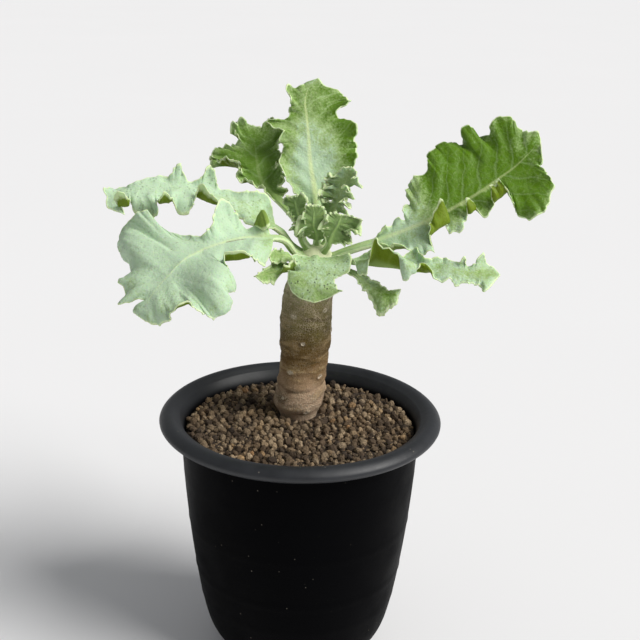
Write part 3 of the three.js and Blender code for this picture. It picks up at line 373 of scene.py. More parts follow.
        "seat": [40, 64], "blade": 11, "stalk": [1.5, 1.3], "tip": [2, -0.5, 0], "frill": [1.4, 5.5, 1],
        "face": [[-0.8, -0.4, 0.4], [-0.8, -0.5, 0.3], [-0.6, -0.7, 0.3]],
        "rib": [[11, 9, 193], [13, 9, 198], [15, 10, 204], [17, 11, 209], [18, 12, 213]],
        "left": [
            [14.5, -3, 7.5, 1.5], [16, 0, 9, 1], [20.5, 0, 4.5, 2], [23, 0, 10, 2], [26.5, 0, 7, 2],
            [31.5, 0.5, 6, 1], [32.5, 2.5, 3, 0],
        ],
        "right": [
            [18.5, 0, 4, 0], [24.5, 0, 5, 0], [29.5, 0, 5.5, 1], [31.5, 1, 5.5, 1], [32.5, 2.5, 2.5, 0.5],
        ],
    },
    "leaf_tip": {
        "seat": [265, 88], "blade": 1.6, "stalk": [1.2, 1], "tip": [3, 0.5, 0], "frill": [1.1, 4.5, 2],
        "face": [[0, 0.8, 0.6], [0, 0.9, 0.3], [0, 0.9, 0.3]],
        "rib": [[4, 3, 193], [4, 3, 198]],
        "left": [
            [2.4, 0, 3, -0.5], [6.5, 0, 5, -1.5], [8.5, 0, 5.5, -1], [11, 0, 4.5, 0], [14.5, 1.5, 4.5, 0],
            [16, 3.5, 3, 0],
        ],
        "right": [
            [2.4, 0, 3, 0], [6.5, 0, 5, 0], [8.5, 0, 5.5, 0], [12, 0, 4.5, 0], [15, 1.5, 4, 0],
            [16, 3.5, 3, 0],
        ],
    },
}

# How each leaf is finished. slot: its finish in the record. Pale wax, partly painted light
# and shade (greener where light shines through the blade, paler where shade falls), in
# rows of the part of the length, then left margin, middle and right margin. ruffle:
# height and length of the waves at the margin, and how closely they keep to the margin.
# curl: how sharply the left and the right margin bend, first where they rise and then where
# they droop. midrib: how clearly it shows. age: how many dark specks there are. folds: where
# a margin rolls over, on the left (-1) or the right (1), in rows of station, then the
# distance out and up of the section at one third, two thirds and all of the way to the
# margin, and how far the margin slides along. heart: a leaf of the grey-green heart of the
# rosette.
LOOKS = {
    "leaf_front_left": {
        "slot": "pale_leaf", "age": 0.25, "midrib": 0.55, "curl": [[1.9, 0.9], [0.1, 1.2]],
        "ruffle": [[0.6, 7, 4]],
        "wax_and_painted_light": [[0, 0.5, 0.7, 0.5], [0.3, 0.7, 1.05, 0.9], [0.7, 0.8, 1.2, 0.8], [1, 0.65, 0.9, 0.7]],
        "folds": {
            1: [
                [
                    [19.3, 1, 0, 2, 1, 2.5, 2, 0], [20.8, 4, 3, 5, 8, -1, 6, 0],
                    [23.3, 4, 3, 5, 8, -1.5, 4.5, 0], [25.8, 2, 0.5, 4, 1, 6, 2, 0],
                ],
                [
                    [57.5, 11, 1, 23, 2, 33, 4, 2], [59.5, 12, 1.5, 26, 3, 35.5, 0, 2],
                    [61.5, 12, 1.5, 26.5, 3.5, 35.5, -4.5, 2], [64, 11.5, 1.5, 25, 3, 33, -7.5, 2],
                    [66, 8.5, 1, 18.5, 1.5, 24.5, -7, 2.5], [68, 7, 0.5, 14, 0, 19.5, -3, 6],
                ],
            ],
            -1: [
                [
                    [48.5, 6, 0, 12, 0, 17.5, 0, -0.5], [50.5, 7.5, 0.5, 16, 1.5, 21, -5, -1.5],
                    [55, 8.5, 1, 18, 2.5, 23.5, -5, -1], [60, 9, 1, 19.5, 2.5, 25, -4.5, 0],
                    [63.5, 10, 1, 22, 2.5, 28.5, -6, 0.5], [66, 10, 0.5, 21.5, 1, 27.5, -7, 5],
                    [68.5, 8, 0, 16, -1, 24, -4, 6],
                ],
            ],
        },
    },
    "leaf_left": {
        "slot": "pale_leaf", "age": 0.5, "midrib": 0.05, "curl": [[1.8, 0.8], [0.3, 0.3]],
        "ruffle": [[0.5, 6, 4]],
        "wax_and_painted_light": [[0, 0.4, 0.5, 0.4], [0.4, 0.7, 0.8, 0.8], [0.8, 0.8, 0.95, 0.85], [1, 0.6, 0.7, 0.75]],
    },
    "leaf_back_left": {
        "slot": "dark_leaf", "age": 0.05, "midrib": 0.2, "curl": [[1.3, 0.9]] * 2,
        "ruffle": [[1.7, 6.5, 4.5], [0.8, 2.9, 9]],
        "wax_and_painted_light": [
            [0, 0.55, 0.6, 0.55], [0.45, 0.1, 0, 0.15], [0.7, 0.2, -0.15, 0.1], [1, 0.35, 0.1, 0.25],
        ],
    },
    "leaf_back": {
        "slot": "fresh_leaf", "age": 0.02, "midrib": 0.9, "curl": [[1.3, 0.9]] * 2,
        "ruffle": [[0.6, 7, 4]],
        "wax_and_painted_light": [
            [0, 0.7, 0.9, 0.7], [0.3, 0.4, 1.15, 0.2], [0.6, 0.05, 1.0, -0.3], [0.85, 0.1, 0.45, -0.2],
            [1, 0.3, 0.4, 0.2],
        ],
    },
    "leaf_right": {
        "slot": "fresh_leaf", "age": 0.02, "midrib": 0.6, "curl": [[0.6, 0.6], [1.9, 1.0]],
        "ruffle": [[0.7, 6.5, 4]],
        "wax_and_painted_light": [
            [0, 0.6, 0.7, 0.6], [0.36, 0.6, 0.85, 0.85], [0.55, -0.1, 0.1, 0.6], [0.85, -0.05, -0.1, 0.0],
            [1, 0.25, 0.1, 0.05],
        ],
        "folds": {
            1: [
                [
                    [38.4, 4, 0, 7, -0.5, 11.5, -1.5, 0], [40, 5, 0, 7.5, 1.5, 8.5, 4, -1],
                    [41.6, 5, 0, 7.5, 3, 6, 5.5, -1], [43.4, 4.5, 0, 7, 4, 3, 6.5, -0.5],
                    [45.2, 4, 0, 6.5, 4, 0, 7, 1], [46.8, 3.5, 0, 6, 3.5, -2.5, 7.5, 3],
                    [47.8, 3.5, 0, 6, 2, 3.5, 3, 1.5], [49, 3, 0, 6.5, -1, 11, -3, -1.5],
                ],
                [
                    [55.5, 3, 0, 5.5, 0, 7.5, 0, 0], [57.3, 3.5, 0, 6.5, 2, 2.5, 5, 0],
                    [59.5, 3.5, 0, 6, 2, 2.5, 4.5, 0.5], [61.2, 3.5, 0, 6.5, 0, 9.5, 0, 0],
                ],
                [
                    [66, 4, 0, 8, 0, 9.5, 1, 0], [68.5, 5, 0, 8, 3, 4, 6.5, 0],
                    [72, 5, 0, 8, 3.5, 3.5, 7, 0], [75, 5, 0, 8, 4, 4, 8, -1],
                    [77, 4.5, 0, 9, 1, 12, 2, -3],
                ],
            ],
        },
    },
    "leaf_front_right": {
        "slot": "pale_leaf", "age": 0.15, "midrib": 0.05, "curl": [[0.5, 0.5], [1.8, 1.0]],
        "ruffle": [[0.6, 5.5, 3.5]],
        "wax_and_painted_light": [[0, 0.3, 0.4, 0.3], [0.35, 0.6, 0.6, 0.6], [0.8, 0.65, 0.75, 0.75], [1, 0.6, 0.6, 0.6]],
        "folds": {
            1: [
                [
                    [15.5, 1, 0, 2, 0.5, 2.5, 1.5, 0], [17.2, 2, 1.8, 3.8, 1.5, 5, -0.5, 0],
                    [19.4, 2, 2.5, 4.5, 2.2, 6.2, -2, 0], [21.8, 1.5, 3.5, 3.8, 4.5, 5.5, 1.5, 0],
                    [23.4, 0.8, 5, 1.6, 9, 1.5, 12.5, 0], [26, 0.8, 4.5, 1.6, 8, 2, 11, 0],
                    [30, 0.8, 4, 1.6, 7.5, 2.2, 9.5, 0], [32.5, 1, 4, 2.6, 8, 4.5, 8.2, 0],
                    [34, 1.5, 5, 4.8, 8.5, 7, 3.5, 0], [36.3, 2, 5.5, 5.6, 7.5, 7.5, 0.5, 0],
                    [38.5, 1.5, 4.5, 4.6, 6.5, 6.5, 3, 0], [41, 1.2, 2.5, 2.6, 5, 4, 5.5, 0],
                    [43.8, 2, 1.5, 3.6, 4.5, 1.2, 6, 0], [45.8, 2.2, 2.5, 4.5, 4, 4.5, 4.5, 0],
                    [47, 2.5, 0.5, 4.5, 1, 5.5, 1, 0],
                ],
            ],
        },
    },
    "leaf_small_right": {
        "slot": "fresh_leaf", "age": 0.05, "midrib": 0.2, "curl": [[1, 0.8], [1.4, 0.8]],
        "ruffle": [[0.6, 4, 3]],
        "wax_and_painted_light": [[0, 0.5, 0.5, 0.5], [0.6, 0.5, 0.45, 0.4], [1, 0.3, 0.2, 0.2]],
    },
    "leaf_front": {
        "slot": "pale_leaf", "age": 1, "midrib": 0.03, "curl": [[1.0, 0.6]] * 2, "ruffle": [[0.3, 5, 4]],
        "wax_and_painted_light": [
            [0, 0.55, 0.6, 0.55], [0.45, 0.45, 0.8, 0.55], [0.75, 0.35, 0.65, 0.5], [1, 0.1, 0.35, 0.3],
        ],
    },
    "leaf_small_left": {
        "slot": "dark_leaf", "age": 0.15, "midrib": 0.3, "curl": [[1.2, 0.8]] * 2,
        "ruffle": [[1.1, 4, 2.4]],
        "wax_and_painted_light": [[0, 0.3, 0.4, 0.3], [0.6, 0.3, 0.3, 0.3], [1, 0.2, 0.15, 0.2]],
        "folds": {
            -1: [
                [
                    [8, 0.8, 0.5, 1.6, 1.5, 2.2, 2.5, 0], [10, 1.6, 1.5, 3.2, 3.5, 3.4, 6, 0],
                    [14.5, 1.6, 1.5, 3.4, 3.5, 3, 6, 0], [17, 1, 0, 2.4, -1, 3, -3, 0],
                ],
            ],
        },
    },
    "leaf_shaded": {
        "slot": "dark_leaf", "age": 0, "midrib": 0.3, "curl": [[1.2, 0.8]] * 2,
        "ruffle": [[1.1, 3.8, 2.4]],
        "wax_and_painted_light": [[0, 0.3, 0.3, 0.3], [1, 0.4, 0.3, 0.4]],
    },
    "leaf_young_right": {
        "slot": "fresh_leaf", "heart": True, "age": 0.1, "midrib": 0.3, "curl": [[1.2, 0.8]] * 2,
        "ruffle": [[2.4, 6.2, 2], [1.6, 2.2, 4.5]],
        "wax_and_painted_light": [[0, 0.5, 0.3, 0.5], [1, 0.6, 0.2, 0.6]],
    },
    "leaf_young_left": {
        "slot": "dark_leaf", "heart": True, "age": 0, "midrib": 0.2, "curl": [[1.2, 0.8]] * 2,
        "ruffle": [[2.0, 5.6, 1.8], [1.6, 2.1, 4.5]],
        "wax_and_painted_light": [[0, 0.4, 0.3, 0.4], [1, 0.5, 0.2, 0.5]],
    },
    "leaf_young_back": {
        "slot": "pale_leaf", "heart": True, "age": 0, "midrib": 0.25, "curl": [[1.2, 0.8]] * 2,
        "ruffle": [[2.6, 6.6, 2.2], [1.7, 2.3, 4.5]],
        "wax_and_painted_light": [[0, 0.4, 0.4, 0.4], [1, 0.6, 0.4, 0.6]],
    },
    "leaf_tip": {
        "slot": "pale_leaf", "heart": True, "age": 0, "midrib": 0.2, "curl": [[1.2, 0.8]] * 2,
        "ruffle": [[2.0, 5.6, 1.8], [1.6, 2.1, 4.5]],
        "wax_and_painted_light": [[0, 0.5, 0.4, 0.5], [1, 0.7, 0.5, 0.7]],
    },
}

# Dry cracks in the lower left leaf: pairs of distance along the rib and across it
CRACKS = [
    [[22, -3.5], [27, -3], [31, -1.6], [35, -1.2], [39, -0.5]],
    [[46, 10.5], [50, 9], [54, 9.5], [58, 8.5]],
]
CRACKED_LEAF = "leaf_front_left"
NO_CRACK = 9.0


def colour(red, green, blue):
    """A linear colour from the 0 to 255 values of a screen."""
    linear = []
    for value in (red, green, blue):
        part = value / 255
        linear.append(part / 12.92 if part <= 0.04045 else ((part + 0.055) / 1.055) ** 2.4)
    return (*linear, 1.0)


def unit(vectors):
    """Vectors of length 1 in the same directions."""
    return vectors / np.maximum(np.linalg.norm(vectors, axis=-1, keepdims=True), 1e-9)


def travelled_along(points):
    """How far each point lies along the line through all of them."""
    steps = np.linalg.norm(np.diff(points, axis=0), axis=1)
    return np.concatenate([[0], np.cumsum(steps)])


def smooth(rows, places):
    """Smooth values at each place between rows that start with their own place."""
    rows = np.asarray(rows, float)
    x, y = rows[:, 0], rows[:, 1:]
    gap = np.diff(x)[:, None]
    step = np.diff(y, axis=0) / gap
    slope = np.empty_like(y)
    slope[0], slope[-1] = step[0], step[-1]
    slope[1:-1] = (step[:-1] * gap[1:] + step[1:] * gap[:-1]) / (gap[:-1] + gap[1:])
    k = np.clip(np.searchsorted(x, places, side="right") - 1, 0, len(x) - 2)
    span = gap[k]
    t = np.clip((places - x[k])[:, None] / span, 0, 1)
    leave, arrive = slope[k] * span, slope[k + 1] * span
    rise = y[k + 1] - y[k]
    return y[k] + t * (leave + t * (3 * rise - 2 * leave - arrive + t * (leave + arrive - 2 * rise)))


def smoothstep(value, low, high):
    """0 up to the low value, 1 from the high one on, and smooth between them."""
    t = np.clip((value - low) / (high - low), 0, 1)
    return t * t * (3 - 2 * t)


def spline(points, count):
    """Evenly spaced points on the curve through the given ones."""
    points = np.asarray(points, float)
    rows = np.column_stack([np.arange(len(points)), points])
    fine = smooth(rows, np.linspace(0, len(points) - 1, 40 * len(points)))
    travelled = travelled_along(fine)
    wanted = np.linspace(0, travelled[-1], count)
    return np.column_stack([np.interp(wanted, travelled, fine[:, i]) for i in range(points.shape[1])])


def tube_mesh(name, rings, start, end=None):
    """A mesh of rings of points in millimetres, its ends drawn together in points of their own."""
    count, sides = rings.shape[:2]
    i, j = np.meshgrid(np.arange(count - 1), np.arange(sides), indexing="ij")
    i, j = i.ravel(), j.ravel()
    after = (j + 1) % sides
    quads = np.column_stack([i * sides + j, i * sides + after, (i + 1) * sides + after, (i + 1) * sides + j])
    faces = quads.tolist()
    j = np.arange(sides)
    after = (j + 1) % sides
    first_end = count * sides
    points = [rings.reshape(-1, 3), np.array([start], float)]
    faces += np.column_stack([np.full(sides, first_end), after, j]).tolist()
    if end is not None:
        points.append(np.array([end], float))
        last = (count - 1) * sides
        faces += np.column_stack([last + j, last + after, np.full(sides, first_end + 1)]).tolist()
    mesh = bpy.data.meshes.new(name)
    mesh.from_pydata((np.concatenate(points) * MM).tolist(), [], faces)
    mesh.polygons.foreach_set("use_smooth", [True] * len(mesh.polygons))
    mesh.update()
    return mesh


def turned_rings(profile, sides):
    """Rings on +Z from rows of radius and height."""
    turn = np.linspace(0, 2 * math.pi, sides, endpoint=False)
    profile = np.asarray(profile, float)
    radius, height = profile[:, 0][:, None], profile[:, 1][:, None]
    return np.stack([radius * np.cos(turn), radius * np.sin(turn), height + 0 * turn], axis=2)


def set_values(mesh, name, values, kind="FLOAT"):
    """Keeps one value for each vertex, for the materials."""
    layer = mesh.attributes.new(name, kind, "POINT")
    field = "vector" if kind == "FLOAT_VECTOR" else "value"
    layer.data.foreach_set(field, np.asarray(values, np.float32).ravel())


def place(name, mesh):
    """Adds an object with the mesh to the scene."""
    piece = bpy.data.objects.new(name, mesh)
    bpy.context.scene.collection.objects.link(piece)
    return piece


def applied(piece):
    """Turns what the piece's modifiers give into its plain mesh."""
    view = bpy.context.evaluated_depsgraph_get()
    made = bpy.data.meshes.new_from_object(piece.evaluated_get(view))
    piece.modifiers.clear()
    made.name = piece.name
    piece.data = made


class Nodes:
    """A tree of nodes; most methods of its two kinds give the socket that they make."""

    def add(self, kind, inputs=(), **settings):
        """Adds a node with its settings and inputs, and gives the node itself."""
        made = self.tree.nodes.new(kind)
        for key, value in settings.items():
            setattr(made, key, value)
        for key, value in dict(inputs).items():
            self.join(value, made.inputs[key])
        return made

    def node(self, kind, inputs=(), output=0, **settings):
        return self.add(kind, inputs, **settings).outputs[output]

    def join(self, value, socket):
        if isinstance(value, bpy.types.NodeSocket):
            self.tree.links.new(value, socket)
        else:
            socket.default_value = value

    def math(self, operation, first, second=0.0, third=0.0, clamp=False):
        inputs = {0: first, 1: second, 2: third}
        return self.node("ShaderNodeMath", inputs, operation=operation, use_clamp=clamp)


class Shader(Nodes):
    """Builds a node material."""

    def __init__(self, name):
        self.material = bpy.data.materials.new(name)
        self.material.use_nodes = True
        self.tree = self.material.node_tree
        self.surface = self.tree.nodes["Principled BSDF"]

    def times(self, first, *others):
        for other in others:
            first = self.math("MULTIPLY", first, other)
        return first

    def plus(self, first, second):
        return self.math("ADD", first, second)

    def scaled(self, value, factor, offset):
        """The value times the factor, and the offset added."""
        return self.math("MULTIPLY_ADD", value, factor, offset)

    def steps(self, value, low, high, start=0.0, end=1.0):
        inputs = {"Value": value, "From Min": low, "From Max": high, "To Min": start, "To Max": end}
        return self.node("ShaderNodeMapRange", inputs, interpolation_type="SMOOTHSTEP")

    def less(self, value):
        """What is left of 1 without the value."""
        return self.math("SUBTRACT", 1.0, value)

    def fade(self, value, low, high):
        """1 up to the low value and 0 from the high one on."""
        return self.less(self.steps(value, low, high))

    def attribute(self, name, output="Fac"):
        return self.node("ShaderNodeAttribute", output=output, attribute_name=name)

    def place(self, scale=1 / MM):
        """Places on the piece, in millimetres where no other scale is given."""
        read = self.node("ShaderNodeTexCoord", output="Object")
        return self.node("ShaderNodeMapping", {"Vector": read, "Scale": (scale, scale, scale)})

    def parts(self, vector):
        """The three parts of a vector."""
        return self.add("ShaderNodeSeparateXYZ", {"Vector": vector}).outputs

    def noise(self, where, scale, detail=2.0, roughness=0.5):
        inputs = {"Vector": where, "Scale": scale, "Detail": detail, "Roughness": roughness}
        return self.node("ShaderNodeTexNoise", inputs, "Fac")

    def cells(self, where, scale, feature="F1"):
        """Distance to the middle of the nearest cell, or to its edge."""
        inputs = {"Vector": where, "Scale": scale, "Randomness": 1.0}
        return self.node("ShaderNodeTexVoronoi", inputs, "Distance", feature=feature)

    def mix(self, part, first, second):
        inputs = {0: part, 6: first, 7: second}
        return self.node("ShaderNodeMix", inputs, 2, data_type="RGBA", blend_type="MIX")

    def paint(self, base, part, strength, *tone):
        """Lays a colour over the base, by the part times the strength."""
        return self.mix(self.times(part, strength), base, colour(*tone))

    def ramp(self, value, stops):
        """Colours along rows of place, red, green and blue."""
        made = self.add("ShaderNodeValToRGB", {"Fac": value})
        points = made.color_ramp.elements
        while len(points) < len(stops):
            points.new(0.5)
        for point, (at, *tone) in zip(points, stops):
            point.position, point.color = at, colour(*tone)
        return made.outputs[0]

    def bump(self, height, distance, strength=1.0, normal=None):
        inputs = {"Height": height, "Distance": distance * MM, "Strength": strength}
        if normal is not None:
            inputs["Normal"] = normal
        return self.node("ShaderNodeBump", inputs)

    def finish(self, base, roughness, normal, **others):
        self.join(base, self.surface.inputs["Base Color"])
        self.join(roughness, self.surface.inputs["Roughness"])
        self.join(normal, self.surface.inputs["Normal"])
        for name, value in others.items():
            self.join(value, self.surface.inputs[name.replace("_", " ")])
        return self.material


def seat_points(turn, height):
    """A rib's first two points: just off the crown, then straight out from it."""
    a, e = math.radians(turn), math.radians(height)
    way = np.array([math.cos(e) * math.cos(a), math.cos(e) * math.sin(a), math.sin(e)])
    size = np.array([CROWN_RADIUS, CROWN_RADIUS, CROWN_HEIGHT])
    outward = unit(way / size)
    return [CROWN + way * size + outward * reach for reach in (GAP, GAP + STALK_REACH)]


class Blade:
    """A leaf's middle surface, from its rib and its two margins, in millimetres.

    Side is -1 for the left half and 1 for the right one, s a row of stations along the
    rib, and v the parts of the way from the rib to the margin.
    """

    def __init__(self, name):
        self.leaf = LEAVES[name]
        self.look = LOOKS[name]
        self.seed = 1.7 * list(LEAVES).index(name)
        points = np.array(seat_points(*self.leaf["seat"]) + self.leaf["rib"], float)
        chord = travelled_along(points)
        places = np.linspace(0, chord[-1], RIB_SAMPLES)
        self.track = smooth(np.column_stack([chord, points]), places)
        self.travelled = travelled_along(self.track)
        self.length = self.travelled[-1]
        self.big = self.length > BIG_LEAF
        self.ways = unit(np.gradient(self.track, self.travelled, axis=0))
        faces = self.leaf["face"]
        self.faces = [[i / (len(faces) - 1), *way] for i, way in enumerate(faces)]
        start = self.leaf["blade"]
        root = [start, 0, self.radius(np.array([start]))[0], 0]
        along, out, up = self.leaf["tip"]
        self.margins = {
            -1: [root, *self.leaf["left"], [self.length, along, -out, up]],
            1: [root, *self.leaf["right"], [self.length, along, out, up]],
        }
        self.measure()

    def measure(self):
        """Measures both margins while they have no ruffle, which then follows their length."""
        self.ruffled = False
        fine = np.linspace(0, self.length, MARGIN_SAMPLES)
        frames = self.frames(fine)
        margin = np.ones((len(fine), 1))
        self.run = {}
        for side in (-1, 1):
            edge = self.points(fine, frames, side, margin)[:, 0]
            self.run[side] = (fine, travelled_along(edge))
        self.ruffled = True

    def radius(self, s):
        """Half the thickness of the stalk and, beyond it, of the midrib."""
        start, (first, second) = self.leaf["blade"], self.leaf["stalk"]
        end = np.clip((s - start) / (self.length - start), 0, 1)
        stalk = first + (second - first) * np.clip(s, 0, None) / start
        flare = 1 + 0.5 * np.exp(-np.clip(s + 1.5, 0, None) / 1.2)
        return np.where(s < start, stalk * flare, second * (1 - end) ** 0.8 + 0.35 * end)

    def frames(self, s):
        """The rib's points, directions, upper sides and right-hand sides."""
        inside = np.clip(s, 0, self.length)
        ways, track = (
            np.column_stack([np.interp(inside, self.travelled, values[:, i]) for i in range(3)])
            for values in (self.ways, self.track)
        )
        ahead = unit(ways)
        point = track + ahead * (s - inside)[:, None]
        hint = smooth(self.faces, inside / self.length)
        upper = unit(hint - (hint * ahead).sum(1, keepdims=True) * ahead)
        return point, ahead, upper, np.cross(ahead, upper)

    def margin(self, s, side):
        """How far a margin's points lie along, out and up; on the stalk, on its surface."""
        rows = smooth(self.margins[side], s)
        below = s < self.leaf["blade"]
        rows[below] = 0
        rows[below, 1] = self.radius(s[below])
        return rows.T

    def width(self, s, side):
        """How far each margin lies from the rib."""
        along, out, _ = self.margin(s, side)
        return np.maximum(np.hypot(along, out), self.radius(s))

    def waves(self, s, side, v):
        """The table's frill and the finer ruffle: a lift, a push outwards and a slide along."""
        start = self.leaf["blade"]
        near = np.clip((s - start) / WAVE_FADE, 0, 1)[:, None]
        far = np.clip((self.length - s) / WAVE_FADE, 0, 1)[:, None]
        lift = push = np.zeros_like(v)
        if "frill" in self.leaf:
            height, wave, first = self.leaf["frill"]
            phase = (2 * math.pi * s[:, None]) / wave + first + (1.3 if side > 0 else 0)
            part = height * near * far * v ** 3
            lift = part * np.sin(phase)
            push = 0.5 * part * np.cos(phase) / np.maximum(v, 0.05)
        slide = np.zeros_like(v)
        for order, (height, wave, depth) in enumerate(self.look["ruffle"] if self.ruffled else []):
            m = np.interp(s, *self.run[side])[:, None] / wave * 2 * math.pi
            seed = self.seed + 2.1 * side + 4 * order
            swing = np.sin(0.37 * m + seed) + 0.4 * np.sin(0.83 * m + 2 * seed)
            part = height * near * np.clip((self.length - s) / 4, 0.25, 1)[:, None] * v ** depth
            part = part * (0.8 + 0.4 * np.sin(0.23 * m + 3 * seed))
            lift = lift + part * (np.sin(m + swing) + 0.15 * np.sin(2.3 * m + seed))
            push = push + 0.6 * part * np.cos(m + swing + 0.5)
            slide = slide + 0.55 * part * np.sin(2 * (m + swing))
        return lift, push, slide

    def points(self, s, frames, side, v, flat=None):
        """The surface; its plan is added to the list flat, where one is given."""
        point, ahead, upper, right = (part[:, None] for part in frames)
        along, margin, up = (part[:, None] for part in self.margin(s, side))
        wave, push, slide = self.waves(s, side, v)
        out = margin + push
        ease = 1 + 0.8 * np.clip(out, 0, None) / (np.abs(out) + np.abs(along) + 0.1)
        x = along * v ** ease + slide
        y = side * out * v
        raised, drooped = self.look["curl"][side > 0]
        curl = np.where(up > 0, raised, drooped) if self.ruffled else 0
        lift = wave + up * ((1 - curl) * v ** 2.2 + curl * v ** 6)
        if flat is not None:
            station, reach = s[:, None] + x, np.abs(out) * v
            flat.append(np.stack([station, side * reach, 0 * x], axis=2))
            inward = np.sin(math.pi * np.clip(v, 0, 1)).clip(0) ** 0.7
            lift = lift + self.swell(station, reach, side) * inward
        for rows in self.folds(side) if self.ruffled else []:
            weight = self.folded(s, rows)
            across, rise, onward = self.section(s, rows, v)
            x = x + weight * (onward + slide - x)
            y = y + weight * (side * (across + push * v) - y)
            lift = lift + weight * (rise + wave - lift)
        return point + ahead * x[..., None] + right * y[..., None] + upper * lift[..., None]

    def folds(self, side):
        return self.look.get("folds", {}).get(side, [])

    def rolled(self, s, side):
        """How far each station belongs to any fold of its side."""
        weights = [self.folded(s, rows) for rows in self.folds(side)]
        return sum(weights, np.zeros((len(s), 1)))

    def folded(self, s, rows):
        """1 where a fold holds, and 0 before its first row and after its last."""
        begin, held, let, end = rows[0][0], rows[1][0], rows[-2][0], rows[-1][0]
        return (smoothstep(s, begin, held) * (1 - smoothstep(s, let, end)))[:, None]

    def section(self, s, rows, v):
        """How far out, up and along a fold's section goes, as a cubic through its four points."""
        values = smooth(rows, np.clip(s, rows[0][0], rows[-1][0]))[:, :, None]
        first = 13.5 * v * (v - 2 / 3) * (v - 1)
        second = -13.5 * v * (v - 1 / 3) * (v - 1)
        third = 4.5 * v * (v - 1 / 3) * (v - 2 / 3)
        across = first * values[:, 0] + second * values[:, 2] + third * values[:, 4]
        rise = first * values[:, 1] + second * values[:, 3] + third * values[:, 5]
        return across, rise, values[:, 6] * v ** 2

    def swell(self, x, y, side):
        """The blade stands up a little between its side veins."""
        start = self.leaf["blade"]
        size = BIG_SWELL if self.big else SMALL_SWELL
        vein = (x - VEIN_SLANT * y) / VEIN_PITCH + (0.5 if side < 0 else 0)
        broad = np.sin(x / 4.6 + 1.4 * side + self.seed) * np.sin(y / 3.9 + x / 9)
        pillow = -size * np.cos(2 * math.pi * vein) + 1.6 * size * broad
        return pillow * np.clip((x - start) / 8, 0, 1) * np.clip(y / 4, 0, 1)

    def stations(self, count):
        """Stations closer together where the margins run long, after two inside the crown."""
        fine = self.run[1][0]
        travelled = self.run[-1][1] + self.run[1][1] + 1.2 * fine
        outside = np.interp(np.linspace(0, travelled[-1], count), travelled, fine)
        return np.concatenate([SUNK_STATIONS, outside])


def both_halves(parts):
    """One row from the left margin over the rib to the right margin."""
    return np.concatenate([parts[-1][:, :0:-1], parts[1]], axis=1)


def grid_normals(grid):
    """Normals at the points of a grid, each the sum of those of its faces."""
    a, b, c, d = grid[:-1, :-1], grid[1:, :-1], grid[1:, 1:], grid[:-1, 1:]
    first, second = np.cross(b - a, c - a), np.cross(c - a, d - a)
    normals = np.zeros_like(grid)
    normals[:-1, :-1] += first + second
    normals[1:, :-1] += first
    normals[1:, 1:] += first + second
    normals[:-1, 1:] += second
    return normals


def leaf_sheet(blade, s, frames, columns):
    """The middle surface, its plan, the distances from rib and margin, and the stiffness."""
    radius = blade.radius(s)
    surfaces, plans, aways, rims, stiff = {}, {}, {}, {}, {}
    k = np.arange(columns + 1)
    for side in (-1, 1):
        width = blade.width(s, side)
        first = np.minimum(radius, width * RIB_COLUMNS / columns)
        beyond = np.clip((k - RIB_COLUMNS) / (columns - RIB_COLUMNS), 0, 1) ** 0.9
        away = first[:, None] * np.minimum(k / RIB_COLUMNS, 1) + (width - first)[:, None] * beyond
        v = away / width[:, None]
        flat = []
        surfaces[side] = blade.points(s, frames, side, v, flat)
        rolled = blade.rolled(s, side)
        plans[side], aways[side] = flat[0], away
        rims[side] = (width[:, None] - away) * (1 + ROLLED_RIM * rolled)
        stiff[side] = STIFFNESS * (1 - rolled * np.clip(4 * v, 0, 1))
    surface = both_halves(surfaces)
    surface[-1] = (surface[-1] + surface[-1][::-1]) / 2
    return surface, both_halves(plans), both_halves(aways), both_halves(rims), both_halves(stiff)


def leaf_rings(blade, s, frames, sheet, thickness):
    """Rings round the leaf: its upper skin, right lip, lower skin and left lip."""
    surface, _, away, rim, stiff = sheet
    start, radius = blade.leaf["blade"], blade.radius(s)[:, None]
    normals = grid_normals(surface.transpose(1, 0, 2)).transpose(1, 0, 2)
    normals[-1] = normals[-1] + normals[-1][::-1]
    way = unit(unit(normals) + stiff[..., None] * frames[2][:, None])

    stalk = np.clip((start + 10 - s) / 14, 0, 1)[:, None]
    flat_part = smoothstep(s, start - 6, start + 3)[:, None]
    thinned = 0.15 + 0.85 * flat_part
    bump = np.sqrt(np.clip(radius ** 2 - away ** 2, 0, None))
    edge = thickness / 2 * (0.8 + 0.2 * np.clip(rim / 1.5, 0, 1)) * thinned
    groove = 1 - 0.35 * np.exp(-((away / (0.45 * radius)) ** 2)) * (1 - flat_part)
    above = np.hypot(edge, bump * (0.05 + 0.8 * stalk) * groove)
    below = np.hypot(edge, bump * (0.7 + 0.3 * stalk))
    top = surface + way * above[..., None]
    low = surface - way * below[..., None]

    lips = []
    for outermost, inside in ((0, 2), (-1, -3)):
        outward = unit(surface[:, outermost] - surface[:, inside])
        lips.append(surface[:, outermost] + outward * (LIP_REACH * thinned))
    lips[0][-1] = lips[1][-1] = (lips[0][-1] + lips[1][-1]) / 2
    return np.concatenate([top, lips[1][:, None], low[:, ::-1], lips[0][:, None]], axis=1)


def around(upper, lower=None, lip=None):
    """Values in the order of a leaf's vertices; a lip has its margin's value by default."""
    left, right = (upper[:, :1], upper[:, -1:]) if lip is None else (lip + 0 * upper[:, :1],) * 2
    lower = upper if lower is None else lower
    whole = np.concatenate([upper, right, lower[:, ::-1], left], axis=1).ravel()
    return np.append(whole, whole[0])


